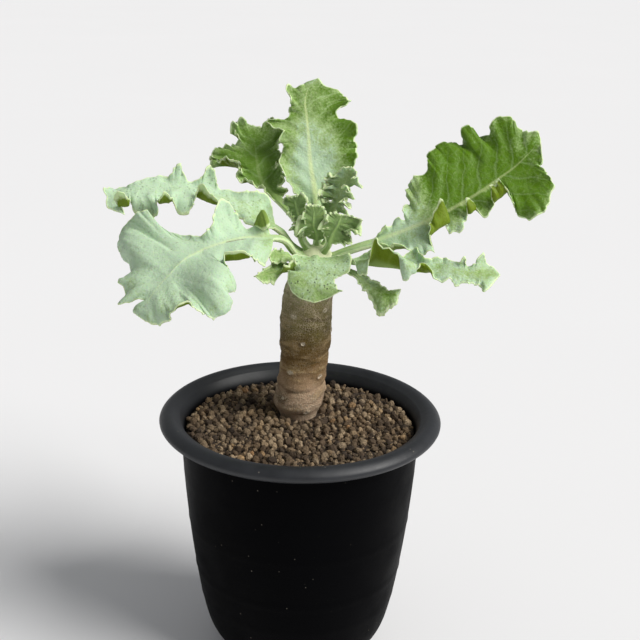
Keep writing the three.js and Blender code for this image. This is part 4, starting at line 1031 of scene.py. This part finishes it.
def leaf_mesh(name, settings):
    """One closed blade, with the values that its material reads."""
    blade = Blade(name)
    look = blade.look
    count, columns = HEART_MESH if "heart" in look else BIG_MESH if blade.big else SMALL_MESH
    s = blade.stations(count)
    frames = blade.frames(s)
    sheet = leaf_sheet(blade, s, frames, columns)
    _, plan, away, rim, _ = sheet
    rings = leaf_rings(blade, s, frames, sheet, settings.thickness / MM)
    mesh = tube_mesh(name, rings, frames[0][0] - 0.3 * frames[1][0])

    start, flat = blade.leaf["blade"], np.zeros_like(away)
    part = np.clip(s / blade.length, 0, 1)
    # Pale wax across the blade, partly painted light and shade: greener where light shines through, paler
    # where shade falls.
    left, centre, right = smooth(look["wax_and_painted_light"], part).T[:, :, None]
    v = away / np.maximum(away + rim, 1e-6)
    on_left = np.arange(away.shape[1]) < columns
    wax_and_painted_light = centre + (np.where(on_left, left, right) - centre) * v ** 1.6
    cracked = crack_values(plan) if name == CRACKED_LEAF else flat + NO_CRACK
    set_values(mesh, "skin", around(flat + 1, flat, 0.5))
    set_values(mesh, "rim", around(rim, rim, 0.0))
    set_values(mesh, "wax_and_painted_light", around(wax_and_painted_light))
    set_values(mesh, "rib", around(away / np.maximum(blade.radius(s)[:, None], 0.4)))
    set_values(mesh, "age", around(flat + look["age"]))
    set_values(mesh, "stalk", around(1 - smoothstep(s, start - 4, start + 14)[:, None] + flat))
    set_values(mesh, "midrib", around(look["midrib"] * (1 - 0.6 * part)[:, None] + flat))
    set_values(mesh, "crack", around(cracked, flat + NO_CRACK, NO_CRACK))
    whole = np.concatenate([plan, plan[:, -1:], plan[:, ::-1], plan[:, :1]], axis=1).reshape(-1, 3)
    set_values(mesh, "plan", np.concatenate([whole, whole[:1]]), "FLOAT_VECTOR")
    return merged(mesh)


def crack_values(plan):
    """Distance to the nearest dry crack, on a leaf's own plan."""
    nearest = np.full(plan.shape[:2], NO_CRACK)
    for crack in CRACKS:
        for a, b in zip(np.array(crack[:-1], float), np.array(crack[1:], float)):
            along = b - a
            offset = plan[..., :2] - a
            t = np.clip((offset @ along) / (along @ along), 0, 1)
            gap = np.linalg.norm(offset - t[..., None] * along, axis=-1)
            nearest = np.minimum(nearest, gap)
    return nearest


def merged(mesh):
    """Merges the vertices that lie together and drops the faces that this closes up."""
    work = bmesh.new()
    work.from_mesh(mesh)
    bmesh.ops.remove_doubles(work, verts=work.verts, dist=0.002 * MM)
    bmesh.ops.dissolve_degenerate(work, edges=work.edges, dist=0.001 * MM)
    work.to_mesh(mesh)
    work.free()
    mesh.update()
    return mesh


def leaf_material(name, green, under, ragged_rim=0.5):
    """Waxy leaf: veins, pale margins; wax and olive underside partly painted light."""
    look = Shader(name)
    plan = look.attribute("plan", "Vector")
    where = look.place()
    x, y, _ = look.parts(plan)
    out = look.math("ABSOLUTE", y)

    wander = look.times(look.math("SUBTRACT", look.noise(plan, 0.09, 3), 0.5), 0.9)
    vein = look.math("DIVIDE", look.scaled(out, -VEIN_SLANT, x), VEIN_PITCH)
    vein = look.plus(look.scaled(look.math("SIGN", y), 0.25, vein), wander)
    line = look.math("ABSOLUTE", look.math("SUBTRACT", look.math("FRACT", vein), 0.5))
    reach = look.steps(out, 0.5, 26, 0.09, 0.035)
    branch = look.fade(look.math("DIVIDE", line, reach), 0.0, 1.5)
    branch = look.times(branch, look.steps(out, 4, 28, 1.0, 0.25))
    net = look.fade(look.cells(plan, 0.26, "DISTANCE_TO_EDGE"), 0.0, 0.16)
    veins = look.math("MAXIMUM", branch, look.times(net, 0.28))
    stalk = look.attribute("stalk")
    veins = look.times(veins, look.less(stalk))

    midrib = look.fade(look.attribute("rib"), 0.1, 0.95)
    shown = look.attribute("midrib")
    rim = look.attribute("rim")
    ragged = look.scaled(look.noise(where, 0.8), 0.3, look.plus(rim, -0.15))
    pale_rim = look.fade(ragged, 0.12, ragged_rim)

    mottle = look.noise(where, 0.12, 5, 0.62)
    patch = look.noise(where, 0.42, 3, 0.6)
    fine = look.noise(where, 1.1, 3, 0.65)
    # The wax is partly painted light and shade: greener where light shines through the blade, paler where
    # shade falls.
    wax_and_painted_light = look.attribute("wax_and_painted_light")
    for cloud, size in ((mottle, 1.1), (patch, 0.5), (fine, 0.9)):
        wax_and_painted_light = look.plus(wax_and_painted_light, look.scaled(cloud, size, -size / 2))
    wax_and_painted_light = look.math("ADD", wax_and_painted_light, look.times(look.fade(rim, 0, 5), 0.18), clamp=True)

    upper = look.mix(look.steps(wax_and_painted_light, 0, 0.55), green, colour(146, 171, 108))
    upper = look.mix(look.steps(wax_and_painted_light, 0.4, 1), upper, colour(178, 202, 172))
    upper = look.paint(upper, veins, look.scaled(shown, 0.12, 0.13), 196, 216, 170)
    upper = look.paint(upper, midrib, shown, 218, 230, 168)
    few = look.steps(look.noise(where, 0.35, 2), 0.44, 0.56)
    freckle = look.times(look.fade(look.cells(where, 0.75), 0.16, 0.4), few, look.attribute("age"))
    upper = look.paint(upper, freckle, 0.85, 72, 76, 52)
    crack = look.plus(look.attribute("crack"), look.scaled(fine, 0.7, -0.35))
    upper = look.paint(upper, look.fade(crack, 0.08, 0.42), 0.75, 112, 92, 70)

    # The olive underside is partly its own colour and partly a painted glow of light shining through the
    # blade.
    lower = look.paint(under, wax_and_painted_light, 0.12, 128, 152, 70)
    lower = look.paint(lower, veins, 0.2, 150, 170, 80)
    lower = look.paint(lower, midrib, 0.6, 164, 190, 120)
    base = look.mix(look.steps(look.attribute("skin"), 0.3, 0.7), lower, upper)
    base = look.paint(base, stalk, 0.55, 150, 180, 110)
    base = look.paint(base, pale_rim, 0.85, 212, 228, 180)

    relief = look.scaled(mottle, 0.9, look.times(patch, 0.35))
    normal = look.bump(look.scaled(veins, -0.06, relief), 0.9, 0.9)
    normal = look.bump(fine, 0.25, 0.8, normal)
    normal = look.bump(look.noise(where, 5, 2), 0.05, 0.6, normal)
    return look.finish(
        base, look.steps(wax_and_painted_light, 0, 1, 0.42, 0.68), normal, Subsurface_Weight=0.2,
        Subsurface_Radius=(0.5, 1.0, 0.22), Subsurface_Scale=1.1 * MM, Specular_IOR_Level=0.22,
    )


def inner_wall(count):
    """Points up the inside of the pot, from its floor."""
    wall = [[radius - WALL, height] for radius, height in OUTER_WALL[1:]]
    return spline([[BASE_RADIUS, FLOOR], *wall], count)


def pot_mesh():
    """The turned pot: out under its base, up, over the lip, down and in over its floor."""
    outer = spline(OUTER_WALL, 64)
    for height, depth in RIDGES:
        outer[:, 0] += depth * np.exp(-(((outer[:, 1] - height) / RIDGE_HALF) ** 2))
    under = [[radius, 0.0] for radius in (8, 16)]
    corner = spline([[BASE_RADIUS - 4, 0], [BASE_RADIUS - 1.2, 0], [BASE_RADIUS, 0.5]], 4)[:-1]
    floor = [[radius, FLOOR] for radius in (24, 16, 8)]
    profile = np.concatenate([under, corner, outer[1:], spline(LIP, 34), inner_wall(44)[::-1], floor])
    return tube_mesh("pot_shell", turned_rings(profile, POT_SIDES), (0, 0, 0), (0, 0, FLOOR))


def drill(piece):
    """Cuts the drain holes through the pot's base."""
    cutters = bmesh.new()
    for i in range(DRAIN_HOLES):
        turn = i * 2 * math.pi / DRAIN_HOLES
        middle = Vector((DRAIN_RING * math.cos(turn), DRAIN_RING * math.sin(turn), FLOOR / 2)) * MM
        bmesh.ops.create_cone(
            cutters, cap_ends=True, segments=28, radius1=DRAIN_RADIUS * MM, radius2=DRAIN_RADIUS * MM,
            depth=4 * FLOOR * MM, matrix=Matrix.Translation(middle),
        )
    mesh = bpy.data.meshes.new("drills")
    cutters.to_mesh(mesh)
    cutters.free()
    tools = place("drills", mesh)
    cut = piece.modifiers.new("drain holes", "BOOLEAN")
    cut.operation = "DIFFERENCE"
    cut.solver = "EXACT"
    cut.object = tools
    applied(piece)
    bpy.data.objects.remove(tools)


def pot_material(settings):
    """Matt black moulded plastic with a fine grain, faint scuffs and dust; a paler rim, partly painted
    sheen.
    """
    look = Shader("matt black plastic")
    where = look.place()
    rim = look.steps(look.parts(where)[2], POT_HEIGHT - 9, POT_HEIGHT - 3)
    cloud = look.noise(where, 0.05, 4, 0.6)
    # A paler film, mostly on the rim: partly dust and partly a painted sheen of light on the rim.
    dust_and_sheen = look.times(look.steps(cloud, 0.2, 0.6, 0.45, 1.0), look.steps(rim, 0, 1, 0.02, 0.95))
    base = look.mix(dust_and_sheen, (*settings.colour, 1.0), colour(36, 38, 42))
    few = look.steps(look.noise(where, 0.11, 2), 0.5, 0.6)
    dust = look.times(look.fade(look.cells(where, 0.22), 0.03, 0.09), few)
    base = look.paint(base, dust, 0.35, 150, 142, 130)
    normal = look.bump(look.noise(where, 3.2, 3, 0.6), 0.05, 0.7)
    normal = look.bump(look.noise(where, 0.18, 3), 0.25, 0.35, normal)
    rough = look.steps(cloud, 0.3, 0.8, settings.roughness - 0.05, settings.roughness + 0.12)
    return look.finish(base, rough, normal, Specular_IOR_Level=look.steps(rim, 0, 1, 0.02, 0.4))


def soil_mesh():
    """The filling under the grains; its upper faces are marked to be strewn."""
    edge = OUTER_WALL[-1][0] - WALL - GAP
    bed = SOIL_LEVEL - 1.3
    inside = inner_wall(60)
    side = inside[inside[:, 1] < SOIL_LEVEL - 2.2] - [2 * GAP, -GAP]
    top = [[edge * (1 - i / SOIL_RINGS), bed] for i in range(SOIL_RINGS)]
    profile = np.concatenate([[[14, FLOOR + GAP]], side, [[edge - 0.2, SOIL_LEVEL - 1.8]], top])
    rings = turned_rings(profile, SOIL_SIDES)
    upper = rings[..., 2] > bed - 0.1
    reach = np.hypot(rings[..., 0], rings[..., 1])
    rings[..., 2] += np.where(upper, SOIL_RISE * np.sqrt(np.clip(1 - reach / edge, 0, 1)), 0)
    for i, j in zip(*np.nonzero(upper)):
        rings[i, j, 2] += 0.5 * noise.noise(Vector(rings[i, j]) * 0.4)
    mesh = tube_mesh("soil_filling", rings, (0, 0, FLOOR + GAP), (0, 0, bed + SOIL_RISE))
    strewn = mesh.attributes.new("strewn", "BOOLEAN", "FACE")
    for face in mesh.polygons:
        x, y, z = face.center / MM
        level = face.normal.z > 0.5 and z > SOIL_LEVEL - 3
        clear = math.hypot(x - STEM_ROWS[4][1], y - STEM_BACK) > STEM_CLEAR
        strewn.data[face.index].value = level and clear and math.hypot(x, y) < edge - 1.5
    return mesh


class Tree(Nodes):
    """Builds a Geometry Nodes tree."""

    def __init__(self, name, sizes):
        self.tree = bpy.data.node_groups.new(name, "GeometryNodeTree")
        face = self.tree.interface
        face.new_socket(name="Geometry", in_out="INPUT", socket_type="NodeSocketGeometry")
        face.new_socket(name="Geometry", in_out="OUTPUT", socket_type="NodeSocketGeometry")
        for label, value in sizes.items():
            kind = "NodeSocketInt" if isinstance(value, int) else "NodeSocketFloat"
            face.new_socket(name=label, in_out="INPUT", socket_type=kind).default_value = value
        self.start = self.tree.nodes.new("NodeGroupInput")
        self.end = self.tree.nodes.new("NodeGroupOutput")

    def random(self, low, high, seed, vector=True):
        kind, first, output = ("FLOAT_VECTOR", 0, 0) if vector else ("FLOAT", 2, 1)
        inputs = {first: low, first + 1: high, "Seed": seed}
        return self.node("FunctionNodeRandomValue", inputs, output, data_type=kind)

    def scaled(self, vector, size):
        return self.node("ShaderNodeVectorMath", {0: vector, "Scale": size}, operation="SCALE")

    def moved(self, geometry, offset):
        return self.node("GeometryNodeSetPosition", {"Geometry": geometry, "Offset": offset})

    def real(self, geometry):
        return self.node("GeometryNodeRealizeInstances", {"Geometry": geometry})

    def finish(self, parts, material):
        """Joins the parts and gives them the material."""
        joined = self.add("GeometryNodeJoinGeometry")
        for part in parts:
            self.join(part, joined.inputs[0])
        inputs = {"Geometry": self.real(joined.outputs[0]), "Material": material}
        self.join(self.node("GeometryNodeSetMaterial", inputs), self.end.inputs[0])
        return self.tree


def grain_tree(material):
    """Strews two layers of small angular stones over the marked faces."""
    sizes = {"Grain size": GRAIN_SIZE * MM, "Spacing": GRAIN_SPACING * MM, "Seed": 7}
    tree = Tree("strewn grains", sizes)
    base, size, spacing, seed = (tree.start.outputs[i] for i in range(4))
    marked = tree.node("GeometryNodeInputNamedAttribute", {"Name": "strewn"}, data_type="BOOLEAN")
    cube = tree.node("GeometryNodeMeshCube", {"Size": (1, 1, 1)})
    stone = tree.node("GeometryNodeSubdivisionSurface", {"Mesh": cube, "Level": 1})
    parts = [base]
    for layer, (low, high, gap, lift) in enumerate(GRAIN_LAYERS):
        near = tree.math("MULTIPLY", spacing, gap)
        step = tree.math("ADD", seed, 3.0 * layer)
        strewn = tree.node(
            "GeometryNodeDistributePointsOnFaces",
            {"Mesh": base, "Selection": marked, "Distance Min": near, "Density Max": 4e6, "Seed": step},
            distribute_method="POISSON",
        )
        turn = tree.random((0, 0, 0), (6.28, 6.28, 6.28), 11 + layer)
        turn = tree.node("FunctionNodeEulerToRotation", {0: turn})
        shape = tree.random((0.9, 0.75, 0.6), (1.25, 1.05, 0.95), 21 + layer)
        whole = tree.math("MULTIPLY", tree.random(low, high, 31 + layer, vector=False), size)
        shape = tree.scaled(shape, whole)
        inputs = {"Points": strewn, "Instance": stone, "Rotation": turn, "Scale": shape}
        stones = tree.node("GeometryNodeInstanceOnPoints", inputs)
        tint = tree.random(0.0, 1.0, 41 + layer, vector=False)
        inputs = {"Geometry": stones, "Name": "tint", "Value": tint}
        tinted = tree.node("GeometryNodeStoreNamedAttribute", inputs, data_type="FLOAT", domain="INSTANCE")
        up = tree.node("ShaderNodeCombineXYZ", {"Z": tree.math("MULTIPLY", size, lift)})
        raised = tree.moved(tree.real(tinted), up)
        lumps = tree.node("ShaderNodeTexNoise", {"Scale": LUMP_SCALE, "Detail": 2.0}, "Color")
        lumps = tree.node("ShaderNodeVectorMath", {0: lumps, 1: (0.5, 0.5, 0.5)}, operation="SUBTRACT")
        parts.append(tree.moved(raised, tree.scaled(lumps, LUMP_HEIGHT * MM)))
    return tree.finish(parts, material)


def soil_material():
    """Porous brown grains, each with its own tint, and painted shade in the gaps between them."""
    look = Shader("brown grit")
    where = look.place()
    # The filling under the grains has no tint, so it takes the darkest one: painted shade between the
    # grains.
    tints = look.ramp(look.attribute("tint"), GRAIN_TINTS)
    grain = look.noise(where, 1.6, 4, 0.7)
    base = look.mix(look.steps(grain, 0.3, 0.75, 0.62, 0.0), tints, colour(50, 39, 30))
    damp = look.steps(look.noise(where, 0.03, 2), 0.42, 0.62, 0, 0.35)
    base = look.mix(damp, base, colour(60, 54, 50))
    normal = look.bump(look.noise(where, 2.4, 4, 0.7), 0.5, 1.0)
    normal = look.bump(look.cells(where, 2.6), 0.3, 0.6, normal)
    return look.finish(base, look.steps(grain, 0.2, 0.8, 0.98, 0.82), normal, Specular_IOR_Level=0.25)


def stem_mesh():
    """The ringed, lumpy trunk with its root and crown, finely displaced."""
    heights = np.linspace(ROOT_BOTTOM, CROWN[2], STEM_RINGS)
    lean, radius = smooth(STEM_ROWS, heights).T
    rise = np.radians(np.linspace(0, 88, CROWN_RINGS))[1:]
    heights = np.concatenate([heights, CROWN[2] + CROWN_HEIGHT * np.sin(rise)])
    radius = np.concatenate([radius, CROWN_RADIUS * np.cos(rise)])
    lean = np.concatenate([lean, np.full(len(rise), CROWN[0])])
    rings = turned_rings(np.column_stack([np.ones_like(heights), heights]), STEM_SIDES)
    turn = np.arctan2(rings[..., 1], rings[..., 0])
    z = rings[..., 2]
    shown = smoothstep(z, ROOT_TOP - 2, ROOT_TOP + 5)
    below = 1 - smoothstep(z, CROWN[2] - 10, CROWN[2] + 4)
    lumps = 0.02 * np.sin(3 * turn + z / 9) + 0.015 * np.sin(5 * turn - z / 6)
    size = radius[:, None] * (1 + shown * below * lumps)

    sway = 1.1 * np.sin(turn + 0.6) + 0.5 * np.sin(2 * turn + 1.9)
    for height, depth, half in CREASES:
        gap = (z - height - sway) / half
        size = size - depth * shown * np.exp(-(gap ** 2)) * (0.7 + 0.3 * np.sin(3 * turn + height))
        size = size + 0.45 * depth * shown * np.exp(-(((gap - 2.2) / 1.6) ** 2))
    scar = np.zeros_like(z)
    for angle, height, wide in SCARS:
        across = (turn - math.radians(angle) + math.pi) % (2 * math.pi) - math.pi
        away = np.hypot(across * radius[:, None], (z - height) * 1.35) / wide
        scar = np.maximum(scar, np.exp(-(away ** 2) * 1.6))
        size = size + 0.34 * np.exp(-(((away - 0.62) / 0.3) ** 2)) - 0.12 * np.exp(-((away / 0.3) ** 2))
    flat = np.column_stack([(size * np.cos(turn)).ravel(), (size * np.sin(turn)).ravel(), z.ravel()])
    rough = [noise.noise(Vector(point) * 0.9) + 0.6 * noise.noise(Vector(point) * 2.0) for point in flat]
    broad = [noise.noise(Vector(point) * 0.22) for point in flat]
    size = size + shown * (0.13 * np.reshape(rough, z.shape) + 0.35 * below * np.reshape(broad, z.shape))

    rings[..., 0] = size * np.cos(turn) + lean[:, None]
    rings[..., 1] = size * np.sin(turn) + STEM_BACK
    top = CROWN + [0, 0, CROWN_HEIGHT]
    mesh = tube_mesh("stem_bark", rings, (STEM_ROWS[0][1], STEM_BACK, ROOT_BOTTOM), top)
    set_values(mesh, "scar", np.concatenate([scar.ravel(), [0, 0]]))
    return mesh


def stem_material(settings):
    """Thin olive bark with a net of pale cork, pinkish at the base, green under the crown."""
    look = Shader("corky bark")
    where = look.place()
    height = look.parts(where)[2]
    level = look.plus(height, look.scaled(look.noise(where, 0.12, 3), 14, -7))
    tints = look.ramp(look.steps(level, 106, 176), BARK_TINTS)
    ring = look.node("ShaderNodeMapping", {"Vector": where, "Scale": (0.25, 0.25, 1)})
    bands = look.noise(ring, 0.28, 4, 0.6)
    bark = look.fade(height, CROWN[2] - 4, CROWN[2] + 2)
    pale = look.times(look.steps(bands, 0.52, 0.68, 0, 0.45), bark)
    base = look.mix(pale, tints, colour(184, 158, 112))
    dark = look.times(look.steps(bands, 0.47, 0.3, 0, 0.75), bark)
    base = look.mix(dark, base, colour(66, 52, 20))

    middle = look.times(look.steps(height, 112, 124), look.fade(height, 140, 160))
    clean = look.scaled(middle, -0.8, 1.0)
    net = look.fade(look.cells(where, 1.15, "DISTANCE_TO_EDGE"), 0.02, 0.2)
    net = look.times(net, bark, clean)
    patch = look.steps(look.noise(where, 0.3, 3), 0.38, 0.62, 0.2, 0.85)
    base = look.paint(base, net, patch, 204, 186, 158)
    speck = look.noise(where, 1.4, 3, 0.7)
    cork = look.times(look.steps(speck, 0.52, 0.64), look.steps(bands, 0.4, 0.62, 0.25, 1.0))
    cork = look.times(cork, bark, clean)
    base = look.paint(base, cork, 0.85, 226, 210, 184)
    scar = look.steps(look.attribute("scar"), 0.3, 0.85)
    woolly = look.times(scar, look.steps(speck, 0.4, 0.58, 0.15, 1.0))
    base = look.paint(base, woolly, 0.8, 240, 228, 206)

    normal = look.bump(look.plus(net, look.times(cork, 1.4)), 0.32, 1.0)
    normal = look.bump(look.noise(where, 2.6, 4, 0.7), 0.25, 0.8, normal)
    rough = look.steps(speck, 0.3, 0.7, 0.58, 0.85)
    return look.finish(base, rough, normal, Specular_IOR_Level=settings.shine)


def soft_light(name, source, spread, strength, tone):
    """A distant soft light from the direction of the source point."""
    lamp = bpy.data.lights.new(name, "SUN")
    lamp.angle = math.radians(spread)
    lamp.energy = strength
    lamp.color = tone
    piece = bpy.data.objects.new(name, lamp)
    piece.rotation_euler = (-Vector(source)).to_track_quat("-Z", "Y").to_euler()
    bpy.context.scene.collection.objects.link(piece)


def colour_property(name, description, default):
    return FloatVectorProperty(
        name=name, description=description, subtype="COLOR", default=default, min=0, max=1,
    )


def part_property(name, description, default):
    return FloatProperty(
        name=name, description=description, subtype="FACTOR", default=default, min=0, max=1,
    )


def length_property(name, description, millimetres):
    return FloatProperty(
        name=name, description=description, default=millimetres * MM, unit="LENGTH", subtype="DISTANCE",
    )


def angle_property(name, description, degrees):
    return FloatProperty(
        name=name, description=description, default=math.radians(degrees), unit="ROTATION",
        subtype="ANGLE",
    )


class PotSettings(bpy.types.PropertyGroup):
    colour: colour_property("Colour", "Plain colour of the moulded plastic", colour(3, 3, 4)[:3])
    roughness: part_property("Roughness", "How matt the plastic is", 0.46)


class SoilSettings(bpy.types.PropertyGroup):
    grain: length_property("Grain size", "Usual width of a grain", GRAIN_SIZE)
    spacing: length_property("Spacing", "Least distance between grains of a layer", GRAIN_SPACING)
    seed: IntProperty(name="Seed", description="Which arrangement of the grains is made", default=7)


class StemSettings(bpy.types.PropertyGroup):
    shine: part_property("Shine", "Strength of the bark's faint gloss", 0.22)


class LeafSettings(bpy.types.PropertyGroup):
    thickness: length_property("Thickness", "Thickness of a blade between its veins", 0.7)
    pale: colour_property(
        "Pale green", "Green under the wax of the oldest leaves", colour(118, 150, 74)[:3],
    )
    fresh: colour_property(
        "Fresh green", "Green under the wax of the full-grown leaves", colour(84, 120, 14)[:3],
    )
    dark: colour_property(
        "Dark green", "Green under the wax of the inner leaves", colour(93, 127, 38)[:3],
    )
    heart: colour_property(
        "Heart green", "Grey green of the youngest leaves", colour(116, 142, 88)[:3],
    )
    # The olive of the undersides is partly their own colour and partly a painted glow of light shining
    # through the blade.
    under: colour_property("Underside", "Olive green of the undersides", colour(100, 122, 3)[:3])


class StageSettings(bpy.types.PropertyGroup):
    lens: FloatProperty(name="Lens", description="Focal length of the camera in millimetres", default=67.5)
    pitch: angle_property("Pitch", "How far the camera looks down", 19.3)
    roll: angle_property("Roll", "How far the camera leans", 1.3)
    floor: colour_property("Floor", "Colour of the floor", (0.8, 0.8, 0.815))


class OTHONNA_OT_pot(bpy.types.Operator):
    """Build the round black pot"""
    bl_idname = "othonna.pot"
    bl_label = "Pot"

    def execute(self, context):
        settings = context.scene.othonna_pot
        piece = place("pot_shell", pot_mesh())
        drill(piece)
        piece.data.materials.clear()
        piece.data.materials.append(pot_material(settings))
        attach(piece, "root")
        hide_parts("pot")
        return {"FINISHED"}


class OTHONNA_OT_soil(bpy.types.Operator):
    """Build the filling and strew its grains"""
    bl_idname = "othonna.soil"
    bl_label = "Soil"

    def execute(self, context):
        settings = context.scene.othonna_soil
        piece = place("soil_grit", soil_mesh())
        strew = piece.modifiers.new("grains", "NODES")
        strew.node_group = grain_tree(soil_material())
        values = {"Grain size": settings.grain, "Spacing": settings.spacing, "Seed": settings.seed}
        for item in strew.node_group.interface.items_tree:
            if item.in_out == "INPUT" and item.name in values:
                strew[item.identifier] = values[item.name]
        applied(piece)
        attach(piece, "root")
        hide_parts("soil")
        return {"FINISHED"}


class OTHONNA_OT_stem(bpy.types.Operator):
    """Build the corky stem with its crown and root"""
    bl_idname = "othonna.stem"
    bl_label = "Stem"

    def execute(self, context):
        piece = place("stem_bark", stem_mesh())
        piece.data.materials.append(stem_material(context.scene.othonna_stem))
        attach(piece, "root")
        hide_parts("stem")
        return {"FINISHED"}


class OTHONNA_OT_leaves(bpy.types.Operator):
    """Build every leaf of the rosette"""
    bl_idname = "othonna.leaves"
    bl_label = "Leaves"

    def execute(self, context):
        settings = context.scene.othonna_leaves
        greens = {"pale_leaf": settings.pale, "fresh_leaf": settings.fresh, "dark_leaf": settings.dark}
        under = (*settings.under, 1.0)
        coats = {slot: leaf_material(slot, (*green, 1.0), under) for slot, green in greens.items()}
        heart = (*settings.heart, 1.0)
        young = leaf_material("heart_leaf", heart, heart, 0.8)
        for name in LEAVES:
            slot = LOOKS[name]["slot"]
            piece = place(name.replace("leaf", "blade"), leaf_mesh(name, settings))
            piece.data.materials.append(young if "heart" in LOOKS[name] else coats[slot])
            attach(piece, "root")
            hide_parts(name)
        return {"FINISHED"}


class OTHONNA_OT_stage(bpy.types.Operator):
    """Set up the floor, the soft light and the camera"""
    bl_idname = "othonna.stage"
    bl_label = "Stage"

    def execute(self, context):
        scene = context.scene
        settings = scene.othonna_stage
        half = STUDIO_HALF
        mesh = bpy.data.meshes.new("studio_floor")
        corners = [(-half, -half, 0), (half, -half, 0), (half, half, 0), (-half, half, 0)]
        mesh.from_pydata(corners, [], [(0, 1, 2, 3)])
        floor = place("studio_floor", mesh)
        plain = Shader("studio floor")
        grain = plain.noise(plain.place(1), 3.0, 2)
        tone = tuple(settings.floor)
        base = plain.mix(grain, (*tone, 1.0), (*(part * 0.97 for part in tone), 1.0))
        rough = plain.steps(grain, 0, 1, 0.8, 0.9)
        plain.finish(base, rough, plain.bump(grain, 0.2, 0.1), Specular_IOR_Level=0.2)
        mesh.materials.append(plain.material)

        world = bpy.data.worlds.new("soft daylight")
        world.use_nodes = True
        sky = world.node_tree.nodes["Background"].inputs
        sky[0].default_value = (0.97, 0.985, 1.0, 1.0)
        sky[1].default_value = 0.33
        scene.world = world
        soft_light("window", (1.05, -0.45, 1.0), 38, 3.85, (1.0, 0.985, 0.955))

        lens = bpy.data.cameras.new("camera")
        lens.sensor_width = 36
        lens.lens = settings.lens
        camera = bpy.data.objects.new("camera", lens)
        tilt = Matrix.Rotation(math.pi / 2 - settings.pitch, 4, "X")
        lean = Matrix.Rotation(settings.roll, 4, "Z")
        camera.matrix_world = Matrix.Translation(Vector(CAMERA) * MM) @ tilt @ lean
        scene.collection.objects.link(camera)
        scene.camera = camera
        scene.view_settings.view_transform = "Standard"
        return {"FINISHED"}


class OTHONNA_PT_panel(bpy.types.Panel):
    """The steps that build the plant"""
    bl_idname = "OTHONNA_PT_panel"
    bl_label = "Potted othonna"
    bl_space_type = "VIEW_3D"
    bl_region_type = "UI"
    bl_category = "Othonna"

    def draw(self, context):
        for name, operator in STEPS.items():
            box = self.layout.box()
            settings = getattr(context.scene, f"othonna_{name}")
            for key in type(settings).__annotations__:
                box.prop(settings, key)
            box.operator(operator.bl_idname)


STEPS = {
    "pot": OTHONNA_OT_pot,
    "soil": OTHONNA_OT_soil,
    "stem": OTHONNA_OT_stem,
    "leaves": OTHONNA_OT_leaves,
    "stage": OTHONNA_OT_stage,
}
SETTINGS = {
    "pot": PotSettings,
    "soil": SoilSettings,
    "stem": StemSettings,
    "leaves": LeafSettings,
    "stage": StageSettings,
}


def register():
    for kind in (*SETTINGS.values(), *STEPS.values(), OTHONNA_PT_panel):
        bpy.utils.register_class(kind)
    for name, kind in SETTINGS.items():
        setattr(bpy.types.Scene, f"othonna_{name}", PointerProperty(type=kind))


def unregister():
    for name in SETTINGS:
        delattr(bpy.types.Scene, f"othonna_{name}")
    for kind in reversed((*SETTINGS.values(), *STEPS.values(), OTHONNA_PT_panel)):
        bpy.utils.unregister_class(kind)


def main():
    register()
    for name in STEPS:
        getattr(bpy.ops.othonna, name)()


if __name__ == "__main__":
    main()
